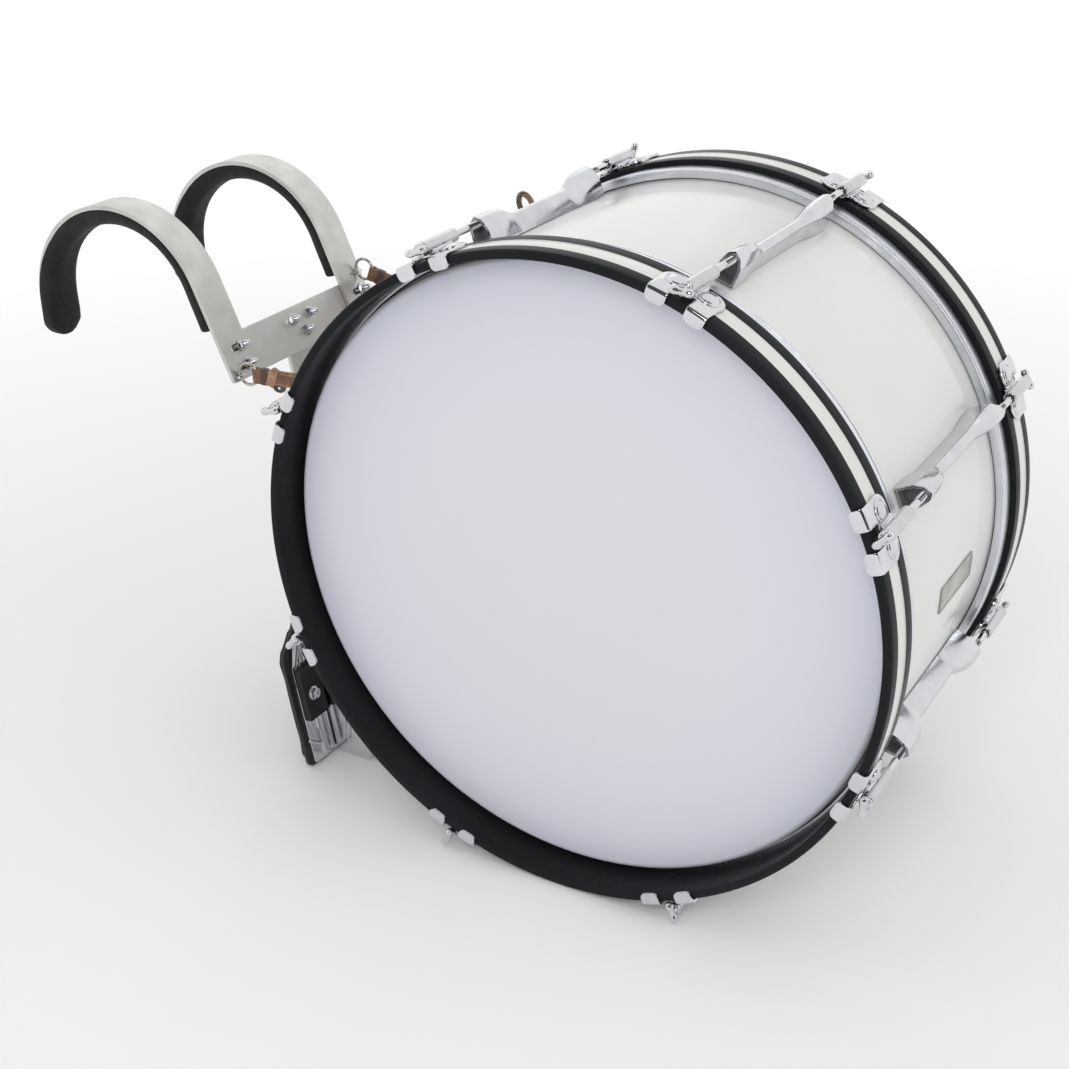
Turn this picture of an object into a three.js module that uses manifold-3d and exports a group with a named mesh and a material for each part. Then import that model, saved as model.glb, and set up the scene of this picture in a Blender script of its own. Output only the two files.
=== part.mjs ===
import * as THREE from 'three';
import { mergeVertices } from 'three/addons/utils/BufferGeometryUtils.js';
import Module from 'manifold-3d';

const wasm = await Module();
wasm.setup();

// Marching bass drum with its shoulder carrier, in millimetres, +Z up.
// The drum's axis runs along X. The player stands on the -Y side and faces +Y,
// so the head on the player's right is at +X. The drum stands on its hoops and
// on the lower edge of the belly plate, and the origin is under its middle.

// Clearances
const seatGap = 0.3;
const runningGap = 0.5;
const weldDepth = 0.6;
const cutOverrun = 2;

// Shell
const shellDiameter = 558.8;
const shellDepth = 304.8;
const shellWall = 7.5;
const bearingChamfer = 1.5;
const bearingBevel = 4.5;
const ventDiameter = 12;
const ringSides = 64;
const ventSides = 12;

// Heads: a plastic film crimped into an aluminium flesh hoop
const filmThickness = 0.5;
const collarClearance = 0.8;
const fleshHoopDepth = 18.6;
const fleshHoopWall = 8;

// Counter hoops
const hoopClearance = 6.1;
const hoopWall = 7.8;
const hoopWidth = 45.3;
const hoopSeatDepth = 13.5;
const hoopOuterRounding = 2.6;

// Tuning hardware, eight stations round the shell
const stationCount = 8;
const firstStationAngle = 22.5;
const rodStandoff = 9.2;
const rodDiameter = 6.35;
const rodSides = 8;

// Lugs: one bar from side to side with a flared casing at each end
const lugLength = 192;
const lugNeckLength = 94;
const lugNeckWidth = 11;
const lugNeckHeight = 19.8;
const lugNeckShoulder = 4.5;
const lugMouthWidth = 19;
const lugMouthHeight = 30;
const lugMouthShoulder = 12.5;
const lugMouthApexWidth = 11;
const lugMouthApexDrop = 3.6;
const lugWall = 1.8;
const lugMouthDepth = 26;
const lugMouthTaper = 0.75;
const lugNeckApexShare = 0.64;
const lugNeckApexDrop = 1.4;
const lugThreadDepth = 12;
const ridgeDiameter = 9.6;
const ridgeOverhang = 6;

// Claws
const clawSpan = 55;
const clawThickness = 2.6;
const clawWingLength = 37;
const clawWingRadius = 13.5;
const clawWingOffset = 14;
const clawTabWidth = 18;
const clawTabGap = 17;
const clawTabDrop = 10;
const clawTabRounding = 5;
const clawNotchDepth = 13;
const clawBarrelDiameter = 11.6;
const clawBarrelLength = 47;
const clawBarrelSetback = 6;
const clawWebWidth = 9;
const clawWebLength = 30;
const clawArcSteps = 4;
const clawDiscSides = 14;

// T-rods
const rodInsertion = 30;
const rodCollarDiameter = 11;
const rodCollarLength = 3;
const handleStandoff = 1.8;
const handleSpan = 20;
const handleDiameter = 6;
const handleBallDiameter = 7.6;
const handleBallSides = 8;
// Where each T-handle points as last tuned, in degrees from +Y towards +Z, by station
const handleAngles = {
  right: [47, -6, 21, 14, 48, 247, 292, 88],
  left: [120, 28, 75, 160, 35, 140, 5, 62],
};

// Carrier frame: crossbar, upright and shoulder bars
const crossbarBendRise = 18.21;
const crossbarRise = 11.54;
const carrierLean = 23;
const barStock = 4;
const crossbarLength = 212;
const crossbarAbove = 17;
const crossbarBelow = 26;
const cornerRadius = 4;
const cornerSteps = 2;
const boltEdgeMargin = 9;
const boltUpperRise = 4;
const boltLowerDrop = 14.5;
const boltDiameter = 6;
const nutDiameter = 9.5;
const nutHeight = 5;
const boltStandOut = 6;
const boltHeadHeight = 4;
const nutSides = 6;
const clampBoltSpacing = 27.4;
const clampBoltRise = 4.5;
const clampBoltDrop = 9.6;
const boltSides = 8;

const shoulderBarWidth = 36;
const rightBarSetting = 9;
const leftBarSetting = -10;
const widthTravelLow = -12;
const widthTravelHigh = 1;
const archRadius = 105.5;
const archCentreRise = 24.2;
const archTailDrop = 13.5;
const archSteps = 16;
const tipSides = 20;

const padThickness = 12;
const padWidth = 42;
const padStartRise = 26.5;
const padTipOverhang = 5;
const padWaist = 1.5;
const padTipSteps = 5;

const uprightWidth = 60;
const uprightTopInset = 3;
const uprightFoot = 100;

// Belly plate, its foam and the bracket that carries the drum
const bellyLean = 10.5;
const bellyStandoff = 24.5;
const bellyHalfWidth = 140;
const bellyHeight = 190;
const bellyChamferWidth = 75;
const bellyChamferHeight = 68;
const bellyCorner = 8;
const bellyPlateThickness = 4;
const bellyFoamThickness = 11.7;
const bellyFoamInset = 2;
const bellyFoamRounding = 4;
const bracketSheet = 2.5;
const bracketHeight = 90;
const bracketInset = 1;
const bracketFoot = 2;
const flangeStandoff = 2;
const flangeDepth = 46;
const hookWall = 8;
const hookLip = 12;
const hookArcSteps = 8;

// Straps, rings and snap hooks that tie the crossbar to the upper T-rods
const ringOuterDiameter = 24;
const ringWire = 3;
const ringSteps = 16;
const ringWireSides = 6;
const rightRingOffset = 10.5;
const leftRingOffset = 10;
const rightRingRise = -22;
const leftRingRise = 22;
const strapWidth = 14;
const strapLayer = 2.4;
const strapEyeWall = 2.4;
const strapArcSteps = 4;
const snapLength = 16;
const snapStock = 4;
const snapBarThickness = 2.4;
const snapEyeWall = 3;
const snapEyeGap = 4.5;
const snapHookWall = 3;
const snapNeckWidth = 7;
const tieStation = 3;
const hookStation = 4;

// Values worked out from the sizes above
const shellRadius = shellDiameter / 2;
const shellEnd = shellDepth / 2;
const hoopInnerRadius = shellRadius + hoopClearance;
const hoopRadius = hoopInnerRadius + hoopWall;
const hoopInnerEdge = shellEnd - hoopSeatDepth;
const hoopFace = hoopInnerEdge + hoopWidth;
const rodCircle = hoopRadius + rodStandoff;
const rodRadius = rodDiameter / 2;
const lugBase = shellRadius + seatGap;
const clawInner = hoopRadius + seatGap;
const clawOuter = clawInner + clawThickness;
const clawFace = hoopFace + seatGap;
const handleX = hoopFace + handleStandoff;
const clawBarrelEnd = hoopFace - clawBarrelSetback;
const clawBarrelStart = clawBarrelEnd - clawBarrelLength;
const lugEnd = lugLength / 2;
const radians = THREE.MathUtils.degToRad;
const stationAngle = (station) => firstStationAngle + (360 / stationCount) * station;
const tieAngle = radians(stationAngle(tieStation));
const tieRod = [rodCircle * Math.cos(tieAngle), rodCircle * Math.sin(tieAngle)];
const hookAngle = radians(stationAngle(hookStation));
const hookRod = [rodCircle * Math.cos(hookAngle), rodCircle * Math.sin(hookAngle)];
const crossbarFaceZ = tieRod[1] + crossbarRise;
const boltX = crossbarLength / 2 - boltEdgeMargin;
const rightBarX = boltX + rightBarSetting;
const leftBarX = -boltX - leftBarSetting;
const rightRingX = rightBarX + rightRingOffset;
const leftRingX = leftBarX - leftRingOffset;

const finish = {
  shell: { color: 0xe6e6e2, roughness: 0.2, metalness: 0 },
  film: { color: 0xd9d8e2, roughness: 0.45, metalness: 0 },
  hoop: { color: 0x1c1e20, roughness: 0.25, metalness: 0 },
  chrome: { color: 0xd8dadc, roughness: 0.12, metalness: 1 },
  aluminium: { color: 0xb9bab8, roughness: 0.4, metalness: 1 },
  foam: { color: 0x202124, roughness: 0.9, metalness: 0 },
  blackPaint: { color: 0x191a1c, roughness: 0.5, metalness: 0 },
  leather: { color: 0x7a4a22, roughness: 0.7, metalness: 0 },
};

const drum = new THREE.Group();

function place(name, geometry, look) {
  const mesh = new THREE.Mesh(geometry, new THREE.MeshStandardMaterial(finish[look]));
  mesh.name = name;
  drum.add(mesh);
  return mesh;
}

// Shape helpers

function toSolid(geometry) {
  const bare = geometry.clone();
  bare.deleteAttribute('normal');
  bare.deleteAttribute('uv');
  const merged = mergeVertices(bare);
  return new wasm.Manifold(new wasm.Mesh({
    numProp: 3,
    vertProperties: new Float32Array(merged.attributes.position.array),
    triVerts: new Uint32Array(merged.index.array),
  }));
}

function toGeometry(manifold) {
  const mesh = manifold.getMesh();
  const geometry = new THREE.BufferGeometry();
  geometry.setAttribute('position', new THREE.BufferAttribute(new Float32Array(mesh.vertProperties), 3));
  geometry.setIndex(new THREE.BufferAttribute(new Uint32Array(mesh.triVerts), 1));
  geometry.computeVertexNormals();
  return geometry;
}

function join(first, ...others) {
  return others.reduce((sum, other) => sum.add(toSolid(other)), toSolid(first));
}

// A profile of [radius, x] points turned round the drum's axis
function turnedRing(profile) {
  const points = profile.map(([radius, x]) => new THREE.Vector2(radius, x));
  const geometry = new THREE.LatheGeometry(points, ringSides);
  const across = new THREE.Vector3(0, 1, 0);
  const along = new THREE.Vector3(1, 0, 0);
  const third = new THREE.Vector3(0, 0, -1);
  return geometry.applyMatrix4(new THREE.Matrix4().makeBasis(across, along, third));
}

// An outline of [y, z] points, with holes, made solid from one x to another
function slab(outline, fromX, toX, holes = []) {
  const shape = new THREE.Shape(outline.map(([y, z]) => new THREE.Vector2(y, z)));
  for (const hole of holes) {
    shape.holes.push(new THREE.Path(hole.map(([y, z]) => new THREE.Vector2(y, z))));
  }
  const geometry = new THREE.ExtrudeGeometry(shape, { depth: toX - fromX, bevelEnabled: false });
  geometry.translate(0, 0, fromX);
  const yAxis = new THREE.Vector3(0, 1, 0);
  const zAxis = new THREE.Vector3(0, 0, 1);
  const xAxis = new THREE.Vector3(1, 0, 0);
  return geometry.applyMatrix4(new THREE.Matrix4().makeBasis(yAxis, zAxis, xAxis));
}

// Points on an arc in a plane, both ends included
function arc(centreA, centreB, radius, fromDegrees, toDegrees, steps) {
  const points = [];
  for (let step = 0; step <= steps; step += 1) {
    const angle = radians(fromDegrees + ((toDegrees - fromDegrees) * step) / steps);
    points.push([centreA + radius * Math.cos(angle), centreB + radius * Math.sin(angle)]);
  }
  return points;
}

function circle(centreA, centreB, radius, sides) {
  return arc(centreA, centreB, radius, 0, 360, sides).slice(0, sides);
}

// A cylinder whose axis is parallel to X
function barAlongX(radius, fromX, toX, y, z, sides) {
  return slab(circle(y, z, radius, sides), fromX, toX);
}

// A frame on a leaning flat face: u runs up the face, n stands off it
function leaningFrame(originY, originZ, leanDegrees) {
  const sine = Math.sin(radians(leanDegrees));
  const cosine = Math.cos(radians(leanDegrees));
  return {
    up: [-sine, cosine],
    out: [cosine, sine],
    at: (u, n) => [originY - sine * u + cosine * n, originZ + cosine * u + sine * n],
    // Places a geometry drawn with its face in X and u and its depth along n
    matrix: new THREE.Matrix4().makeBasis(
      new THREE.Vector3(-1, 0, 0),
      new THREE.Vector3(0, -sine, cosine),
      new THREE.Vector3(0, cosine, sine),
    ).setPosition(0, originY, originZ),
  };
}

// A plate drawn on a leaning face as [x, u] points, from depth n0 to n1
function facePlate(frame, outline, n0, n1, holes = []) {
  const seenFromOutside = (points) => points.map(([x, u]) => new THREE.Vector2(-x, u)).reverse();
  const shape = new THREE.Shape(seenFromOutside(outline));
  for (const hole of holes) {
    shape.holes.push(new THREE.Path(seenFromOutside(hole)));
  }
  const geometry = new THREE.ExtrudeGeometry(shape, { depth: n1 - n0, bevelEnabled: false });
  geometry.translate(0, 0, n0);
  return geometry.applyMatrix4(frame.matrix);
}

// A round or hexagonal pin standing on a leaning face
function facePin(frame, x, u, radius, n0, n1, sides) {
  return facePlate(frame, circle(x, u, radius, sides), n0, n1);
}

// A slot with round ends, from one x to another at height u
function slotOutline(fromX, toX, u, radius) {
  return [
    ...arc(toX, u, radius, -90, 90, strapArcSteps),
    ...arc(fromX, u, radius, 90, 270, strapArcSteps),
  ];
}

function rectangle(a0, a1, b0, b1) {
  return [[a0, b0], [a1, b0], [a1, b1], [a0, b1]];
}

// A rectangle with round corners
function roundedBox(a0, a1, b0, b1, radius) {
  return [
    ...arc(a1 - radius, b0 + radius, radius, -90, 0, cornerSteps),
    ...arc(a1 - radius, b1 - radius, radius, 0, 90, cornerSteps),
    ...arc(a0 + radius, b1 - radius, radius, 90, 180, cornerSteps),
    ...arc(a0 + radius, b0 + radius, radius, 180, 270, cornerSteps),
  ];
}

// Skins a row of rings that have the same number of [x, y, z] points
function skin(rings) {
  const sides = rings[0].length;
  const indices = [];
  for (let row = 0; row < rings.length - 1; row += 1) {
    for (let side = 0; side < sides; side += 1) {
      const next = (side + 1) % sides;
      const a = row * sides + side;
      const b = row * sides + next;
      indices.push(a, b, b + sides, a, b + sides, a + sides);
    }
  }
  const last = (rings.length - 1) * sides;
  for (let side = 1; side < sides - 1; side += 1) {
    indices.push(0, side + 1, side, last, last + side, last + side + 1);
  }
  const geometry = new THREE.BufferGeometry();
  geometry.setAttribute('position', new THREE.Float32BufferAttribute(rings.flat(2), 3));
  geometry.setIndex(indices);
  return geometry;
}

// Skins sections of [y, z] points that lie at the given places along X
function loft(sections) {
  return skin(sections.map(({ x, points }) => points.map(([y, z]) => [x, y, z])));
}

// Shell, heads and hoops

function makeShell() {
  const inner = shellRadius - shellWall;
  const bevelTop = shellEnd - bearingBevel;
  const half = [
    [shellRadius, shellEnd - bearingChamfer],
    [shellRadius - bearingChamfer, shellEnd],
    [inner, bevelTop],
  ];
  const otherHalf = half.map(([radius, x]) => [radius, -x]).reverse();
  const profile = [...otherHalf, ...half, otherHalf[0]];
  const tube = toSolid(turnedRing(profile));
  const ventHalfLength = shellWall + cutOverrun;
  const vent = new THREE.CylinderGeometry(
    ventDiameter / 2, ventDiameter / 2, 2 * ventHalfLength, ventSides,
  ).translate(0, -shellRadius, 0);
  return toGeometry(tube.subtract(toSolid(vent)));
}

// side is 1 for the player's right and -1 for the left
function makeHead(side) {
  const filmInner = shellEnd + seatGap;
  const filmOuter = filmInner + filmThickness;
  const skirtInner = shellRadius + collarClearance;
  const skirtOuter = skirtInner + filmThickness;
  const fleshTop = hoopInnerEdge - seatGap;
  const fleshBottom = fleshTop - fleshHoopDepth;
  const fleshOuter = skirtInner + fleshHoopWall;
  const profile = [
    [0, filmInner],
    [skirtInner, filmInner],
    [skirtInner, fleshBottom],
    [fleshOuter, fleshBottom],
    [fleshOuter, fleshTop],
    [skirtOuter, fleshTop],
    [skirtOuter, filmOuter],
    [0, filmOuter],
  ];
  const geometry = turnedRing(profile);
  return side > 0 ? geometry : geometry.rotateZ(Math.PI);
}

function makeHoop(side) {
  const edge = hoopFace - hoopOuterRounding;
  const rim = arc(hoopRadius - hoopOuterRounding, edge, hoopOuterRounding, 0, 90, 2);
  const profile = [
    [hoopInnerRadius, hoopInnerEdge],
    [hoopRadius, hoopInnerEdge],
    ...rim,
    [hoopInnerRadius, hoopFace],
    [hoopInnerRadius, hoopInnerEdge],
  ];
  const geometry = turnedRing(profile);
  return side > 0 ? geometry : geometry.rotateZ(Math.PI);
}

// Tuning hardware, each piece drawn at the top of the drum with its radius along Z

function houseSection(width, height, shoulder, apexWidth, apexDrop, inset = 0) {
  const half = width / 2 - inset;
  const top = lugBase + height - inset;
  const apexHalf = apexWidth / 2 - inset / 2;
  return [
    [-half, lugBase + inset],
    [half, lugBase + inset],
    [half, lugBase + height - shoulder],
    [apexHalf, top - apexDrop],
    [0, top],
    [-apexHalf, top - apexDrop],
    [-half, lugBase + height - shoulder],
  ];
}

function neckSection() {
  const apexWidth = lugNeckWidth * lugNeckApexShare;
  return houseSection(lugNeckWidth, lugNeckHeight, lugNeckShoulder, apexWidth, lugNeckApexDrop);
}

function mouthSection(inset = 0) {
  return houseSection(
    lugMouthWidth, lugMouthHeight, lugMouthShoulder, lugMouthApexWidth, lugMouthApexDrop, inset,
  );
}

function makeLug() {
  const end = lugEnd;
  const neck = lugNeckLength / 2;
  let body = toSolid(loft([
    { x: -end, points: mouthSection() },
    { x: -neck, points: neckSection() },
    { x: neck, points: neckSection() },
    { x: end, points: mouthSection() },
  ]));
  const ridgeFrom = neck - ridgeOverhang;
  for (const side of [-1, 1]) {
    const inner = side * ridgeFrom;
    const outer = side * end;
    const ridge = barAlongX(
      ridgeDiameter / 2, Math.min(inner, outer), Math.max(inner, outer), 0, rodCircle, rodSides,
    );
    body = body.add(toSolid(ridge));
  }
  for (const side of [-1, 1]) {
    const pocketEnd = end - lugMouthDepth;
    const small = mouthSection(lugWall).map(([y, z]) => [
      y * lugMouthTaper, rodCircle + (z - rodCircle) * lugMouthTaper,
    ]);
    const sections = [
      { x: pocketEnd, points: small },
      { x: end + cutOverrun, points: mouthSection(lugWall) },
    ];
    let pocket = toSolid(loft(sections));
    const threadFrom = pocketEnd - lugThreadDepth;
    const boreRadius = rodRadius + seatGap;
    pocket = pocket.add(toSolid(barAlongX(
      boreRadius, threadFrom, pocketEnd + cutOverrun, 0, rodCircle, rodSides,
    )));
    if (side < 0) {
      pocket = pocket.rotate([0, 0, 180]);
    }
    body = body.subtract(pocket);
  }
  return toGeometry(body);
}

function makeClaw() {
  const halfAngle = THREE.MathUtils.radToDeg(clawSpan / 2 / clawOuter);
  const back = hoopFace - clawWingLength;
  const faceOuter = clawFace + clawThickness;

  // The band that lies on the hoop
  const band = slab([
    ...arc(0, 0, clawInner, 90 + halfAngle, 90 - halfAngle, clawArcSteps),
    ...arc(0, 0, clawOuter, 90 - halfAngle, 90 + halfAngle, clawArcSteps),
  ].reverse(), back, faceOuter);

  // Its plan: two round wings, a bridge under the barrel and two hook tabs
  const planHeight = clawOuter + cutOverrun;
  const planBase = hoopInnerRadius - clawTabDrop;
  const wingX = back + clawWingRadius;
  const tabFrom = clawTabGap / 2;
  const tabTo = tabFrom + clawTabWidth;
  const plate = (outline) => {
    const shape = new THREE.Shape(outline.map(([x, y]) => new THREE.Vector2(x, y)));
    return new THREE.ExtrudeGeometry(shape, { depth: planHeight - planBase, bevelEnabled: false })
      .translate(0, 0, planBase);
  };
  const wings = [];
  for (const side of [-1, 1]) {
    wings.push(plate(circle(wingX, side * clawWingOffset, clawWingRadius, clawDiscSides)));
    const y0 = side > 0 ? tabFrom : -tabTo;
    const y1 = side > 0 ? tabTo : -tabFrom;
    wings.push(plate(rectangle(wingX, faceOuter + cutOverrun, y0, y1)));
  }
  const bridge = plate(rectangle(
    back + clawWingRadius / 2, hoopFace - clawNotchDepth, -clawWingOffset, clawWingOffset,
  ));
  const plan = join(bridge, ...wings);
  let claw = toSolid(band).intersect(plan);

  // The tabs turned down over the front of the hoop
  const tabBottom = hoopRadius - clawTabDrop;
  for (const side of [-1, 1]) {
    const middle = (side * (tabFrom + tabTo)) / 2;
    const outline = roundedBox(
      middle - clawTabWidth / 2, middle + clawTabWidth / 2, tabBottom, clawOuter - clawThickness / 2,
      clawTabRounding,
    );
    claw = claw.add(toSolid(slab(outline, clawFace, faceOuter)));
  }

  // The barrel that the T-rod passes through, on its web
  const barrelEnd = clawBarrelEnd;
  const barrelStart = clawBarrelStart;
  const webEnd = hoopFace - clawNotchDepth;
  const web = slab(rectangle(
    -clawWebWidth / 2, clawWebWidth / 2, clawInner + clawThickness / 2, rodCircle,
  ), webEnd - clawWebLength, webEnd);
  const barrel = barAlongX(clawBarrelDiameter / 2, barrelStart, barrelEnd, 0, rodCircle, rodSides);
  const bore = barAlongX(
    rodRadius + seatGap, barrelStart - cutOverrun, barrelEnd + cutOverrun, 0, rodCircle, rodSides,
  );
  return toGeometry(claw.add(toSolid(web)).add(toSolid(barrel)).subtract(toSolid(bore)));
}

// A T-rod whose handle is turned by some degrees from lying along the hoop
function makeTRod(handleTurn) {
  const insideEnd = lugEnd - rodInsertion;
  const collarFrom = clawBarrelEnd + seatGap;
  const shank = barAlongX(rodRadius, insideEnd, handleX, 0, rodCircle, rodSides);
  const collar = barAlongX(
    rodCollarDiameter / 2, collarFrom, collarFrom + rodCollarLength, 0, rodCircle, rodSides,
  );
  const ball = handleBallDiameter / 2;
  const ballMiddle = handleSpan / 2 - ball;
  const neckRadius = handleDiameter / 2;
  const end = [[neckRadius, ballMiddle - ball], ...arc(0, ballMiddle, ball, 0, 90, 2)];
  const otherEnd = end.map(([radius, y]) => [radius, -y]).reverse();
  const profile = [...otherEnd, ...end];
  profile[0][0] = 0;
  profile[profile.length - 1][0] = 0;
  const crossHandle = new THREE.LatheGeometry(
    profile.map(([radius, y]) => new THREE.Vector2(radius, y)), handleBallSides,
  ).rotateX(radians(handleTurn)).translate(handleX, 0, rodCircle);
  return toGeometry(join(shank, collar, crossHandle));
}

function makeTuningHardware() {
  const lug = makeLug();
  const claw = makeClaw();
  for (let station = 0; station < stationCount; station += 1) {
    const fromTop = stationAngle(station) - 90;
    const turn = radians(fromTop);
    const label = station + 1;
    place(`lug_${label}`, lug, 'chrome').rotation.x = turn;
    for (const [sideName, half] of [['right', 0], ['left', Math.PI]]) {
      const handleTurn = handleAngles[sideName][station] - fromTop;
      const rod = makeTRod(half > 0 ? -handleTurn : handleTurn);
      for (const [kind, shape] of [['claw', claw], ['t_rod', rod]]) {
        const mesh = place(`${sideName}_${kind}_${label}`, shape, 'chrome');
        mesh.rotation.set(turn, 0, half, 'XYZ');
      }
    }
  }
}

// Carrier

const bellyEdgeZ = -hoopRadius - (bellyFoamThickness + seatGap) * Math.sin(radians(bellyLean));
const bellyBack = leaningFrame(-rodCircle - bellyStandoff, bellyEdgeZ, bellyLean);
const bellyThickness = bellyFoamThickness + seatGap + bellyPlateThickness;
const bellyFrontEdge = bellyBack.at(0, bellyThickness);
const bellyFront = leaningFrame(bellyFrontEdge[0], bellyFrontEdge[1], bellyLean);

// The upright runs up the belly plate's face to its bend, and the crossbar stands above the bend
const uprightOnPlate = seatGap + barStock / 2;
const uprightOnBar = -barStock - seatGap - barStock / 2;
const fromBend = leaningFrame(0, 0, carrierLean).at(crossbarBendRise, -uprightOnBar);
const bendZ = crossbarFaceZ - fromBend[1];
const plateFoot = bellyFront.at(0, uprightOnPlate);
const bendY = plateFoot[0] + ((bendZ - plateFoot[1]) * bellyFront.up[0]) / bellyFront.up[1];
const carrier = leaningFrame(bendY + fromBend[0], crossbarFaceZ, carrierLean);

const footFront = seatGap + barStock;
const boltHeights = [boltUpperRise, -boltLowerDrop];

// A through bolt: head behind, nut and bolt end in front
function boltSolids(x, u, front, back) {
  const top = front + nutHeight;
  return [
    facePin(carrier, x, u, boltDiameter / 2, back - boltHeadHeight, top + boltStandOut, boltSides),
    facePin(carrier, x, u, nutDiameter / 2, front, top, nutSides),
    facePin(carrier, x, u, nutDiameter / 2, back - boltHeadHeight, back, nutSides),
  ];
}

const clampBolts = [
  [clampBoltSpacing / 2, clampBoltRise],
  [-clampBoltSpacing / 2, clampBoltRise],
  [0, -clampBoltDrop],
];
const uprightBack = uprightOnBar - barStock / 2;

function makeCrossbar() {
  const outline = roundedBox(
    -crossbarLength / 2, crossbarLength / 2, -crossbarBelow, crossbarAbove, cornerRadius,
  );
  let bar = toSolid(facePlate(carrier, outline, -barStock, 0));
  for (const x of [-boltX, boltX]) {
    for (const u of boltHeights) {
      for (const piece of boltSolids(x, u, footFront + seatGap, weldDepth - barStock)) {
        bar = bar.add(toSolid(piece));
      }
    }
  }
  for (const [x, u] of clampBolts) {
    for (const piece of boltSolids(x, u, -weldDepth, uprightBack - seatGap)) {
      bar = bar.add(toSolid(piece));
    }
  }
  return toGeometry(bar);
}

// The arch in the Y-Z plane, offset from the middle of the bar's stock
const barMiddle = seatGap + barStock / 2;
const archMiddleRadius = archRadius - barStock / 2;
const archCentreZ = crossbarFaceZ + archCentreRise;
const tangentRise = (archCentreZ - carrier.at(0, barMiddle - archMiddleRadius)[1]) / carrier.up[1];
const archCentre = carrier.at(tangentRise, barMiddle - archMiddleRadius);
const tailEndZ = archCentre[1] - archTailDrop;

// Outline between two offsets from the bar's middle; offsets grow outwards
function archOutline(inner, outer, startRise, tailZ) {
  const outerRadius = archMiddleRadius + outer;
  const innerRadius = archMiddleRadius + inner;
  return [
    carrier.at(startRise, barMiddle + outer),
    ...arc(archCentre[0], archCentre[1], outerRadius, carrierLean, 180, archSteps),
    [archCentre[0] - outerRadius, tailZ],
    [archCentre[0] - innerRadius, tailZ],
    ...arc(archCentre[0], archCentre[1], innerRadius, 180, carrierLean, archSteps),
    carrier.at(startRise, barMiddle + inner),
  ];
}

// A block round the whole bar that is as wide as it and round at the bar's tip
function tipMask(barX, width, tipZ) {
  const radius = width / 2;
  const top = archCentre[1] + archRadius + cutOverrun;
  const low = carrier.at(-crossbarBelow, 0)[1] - cutOverrun;
  const outline = [
    ...arc(barX, tipZ, radius, 180, 360, tipSides),
    [barX + radius, top],
    [barX - radius, top],
  ];
  const shape = new THREE.Shape(outline.map(([x, z]) => new THREE.Vector2(x, z)));
  const back = archCentre[0] - archRadius - cutOverrun;
  const middle = archCentre[0];
  const front = carrier.at(-crossbarBelow, footFront)[0] + cutOverrun;
  const rear = new THREE.ExtrudeGeometry(shape, { depth: middle + weldDepth - back, bevelEnabled: false })
    .rotateX(Math.PI / 2)
    .translate(0, middle + weldDepth, 0);
  return join(rear, slab(rectangle(middle, front, low, top), barX - radius, barX + radius));
}

// The little bridge on a bar's front face that its ring hangs from
function staple(ringX, rise) {
  const wire = ringWire;
  const inside = wire / 2 + runningGap;
  const outside = inside + wire;
  const bridgeLow = footFront + wire + 2 * runningGap;
  const bridgeTop = bridgeLow + wire;
  const box = (x0, x1, n0) => facePlate(
    carrier, rectangle(x0, x1, rise - wire / 2, rise + wire / 2), n0, bridgeTop,
  );
  const root = footFront - weldDepth;
  return join(
    box(ringX - outside, ringX + outside, bridgeLow),
    box(ringX - outside, ringX - inside, root),
    box(ringX + inside, ringX + outside, root),
  );
}

function makeShoulderBar(barX, ringX, ringRise) {
  const stock = barStock / 2;
  const reach = shoulderBarWidth / 2 + cutOverrun;
  const tail = tailEndZ - shoulderBarWidth / 2 - cutOverrun;
  const strip = slab(archOutline(-stock, stock, -crossbarBelow, tail), barX - reach, barX + reach);
  let bar = toSolid(strip).intersect(tipMask(barX, shoulderBarWidth, tailEndZ));
  const bolt = barX > 0 ? boltX : -boltX;
  for (const u of boltHeights) {
    const outline = slotOutline(
      bolt - widthTravelHigh, bolt - widthTravelLow, u, boltDiameter / 2 + seatGap,
    );
    bar = bar.subtract(toSolid(facePlate(carrier, outline, -cutOverrun, footFront + cutOverrun)));
  }
  return toGeometry(bar.add(staple(ringX, ringRise)));
}

// Stations along the underside of a bar, each with the bar's inward direction
function padStations() {
  const offset = -barStock / 2 - seatGap;
  const radius = archMiddleRadius + offset;
  const stations = [{ point: carrier.at(padStartRise, barMiddle + offset), normal: carrier.out }];
  for (let step = 0; step <= archSteps; step += 1) {
    const angle = radians(carrierLean + ((180 - carrierLean) * step) / archSteps);
    const normal = [Math.cos(angle), Math.sin(angle)];
    const point = [archCentre[0] + radius * normal[0], archCentre[1] + radius * normal[1]];
    stations.push({ point, normal });
  }
  return { stations, tail: { y: archCentre[0] - radius, normal: [-1, 0] } };
}

// A padded strip: flat on the bar, crowned below, drawn in at the middle and round at its tip
function makeShoulderPad(barX) {
  const sectionShares = [
    [0.92, 0], [-0.92, 0], [-1, -0.3], [-0.95, -0.62], [-0.78, -0.86], [-0.4, -0.97],
    [0, -1], [0.4, -0.97], [0.78, -0.86], [0.95, -0.62], [1, -0.3],
  ];
  const { stations, tail } = padStations();
  const ring = ({ point, normal }, half, depth) => sectionShares.map(([w, d]) => [
    barX + half * w, point[0] + normal[0] * depth * d, point[1] + normal[1] * depth * d,
  ]);
  const radius = padWidth / 2;
  const tipZ = tailEndZ - padTipOverhang;
  const rings = stations.map((station, index) => {
    const waist = padWaist * Math.sin((Math.PI * index) / (stations.length - 1));
    return ring(station, radius - waist, padThickness);
  });
  for (let step = 0; step < padTipSteps; step += 1) {
    const angle = (Math.PI / 2) * (step / padTipSteps);
    const station = { point: [tail.y, tipZ - radius * Math.sin(angle)], normal: tail.normal };
    const depth = padThickness * (1 + Math.cos(angle)) / 2;
    rings.push(ring(station, radius * Math.cos(angle), depth));
  }
  return skin(rings);
}

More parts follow.
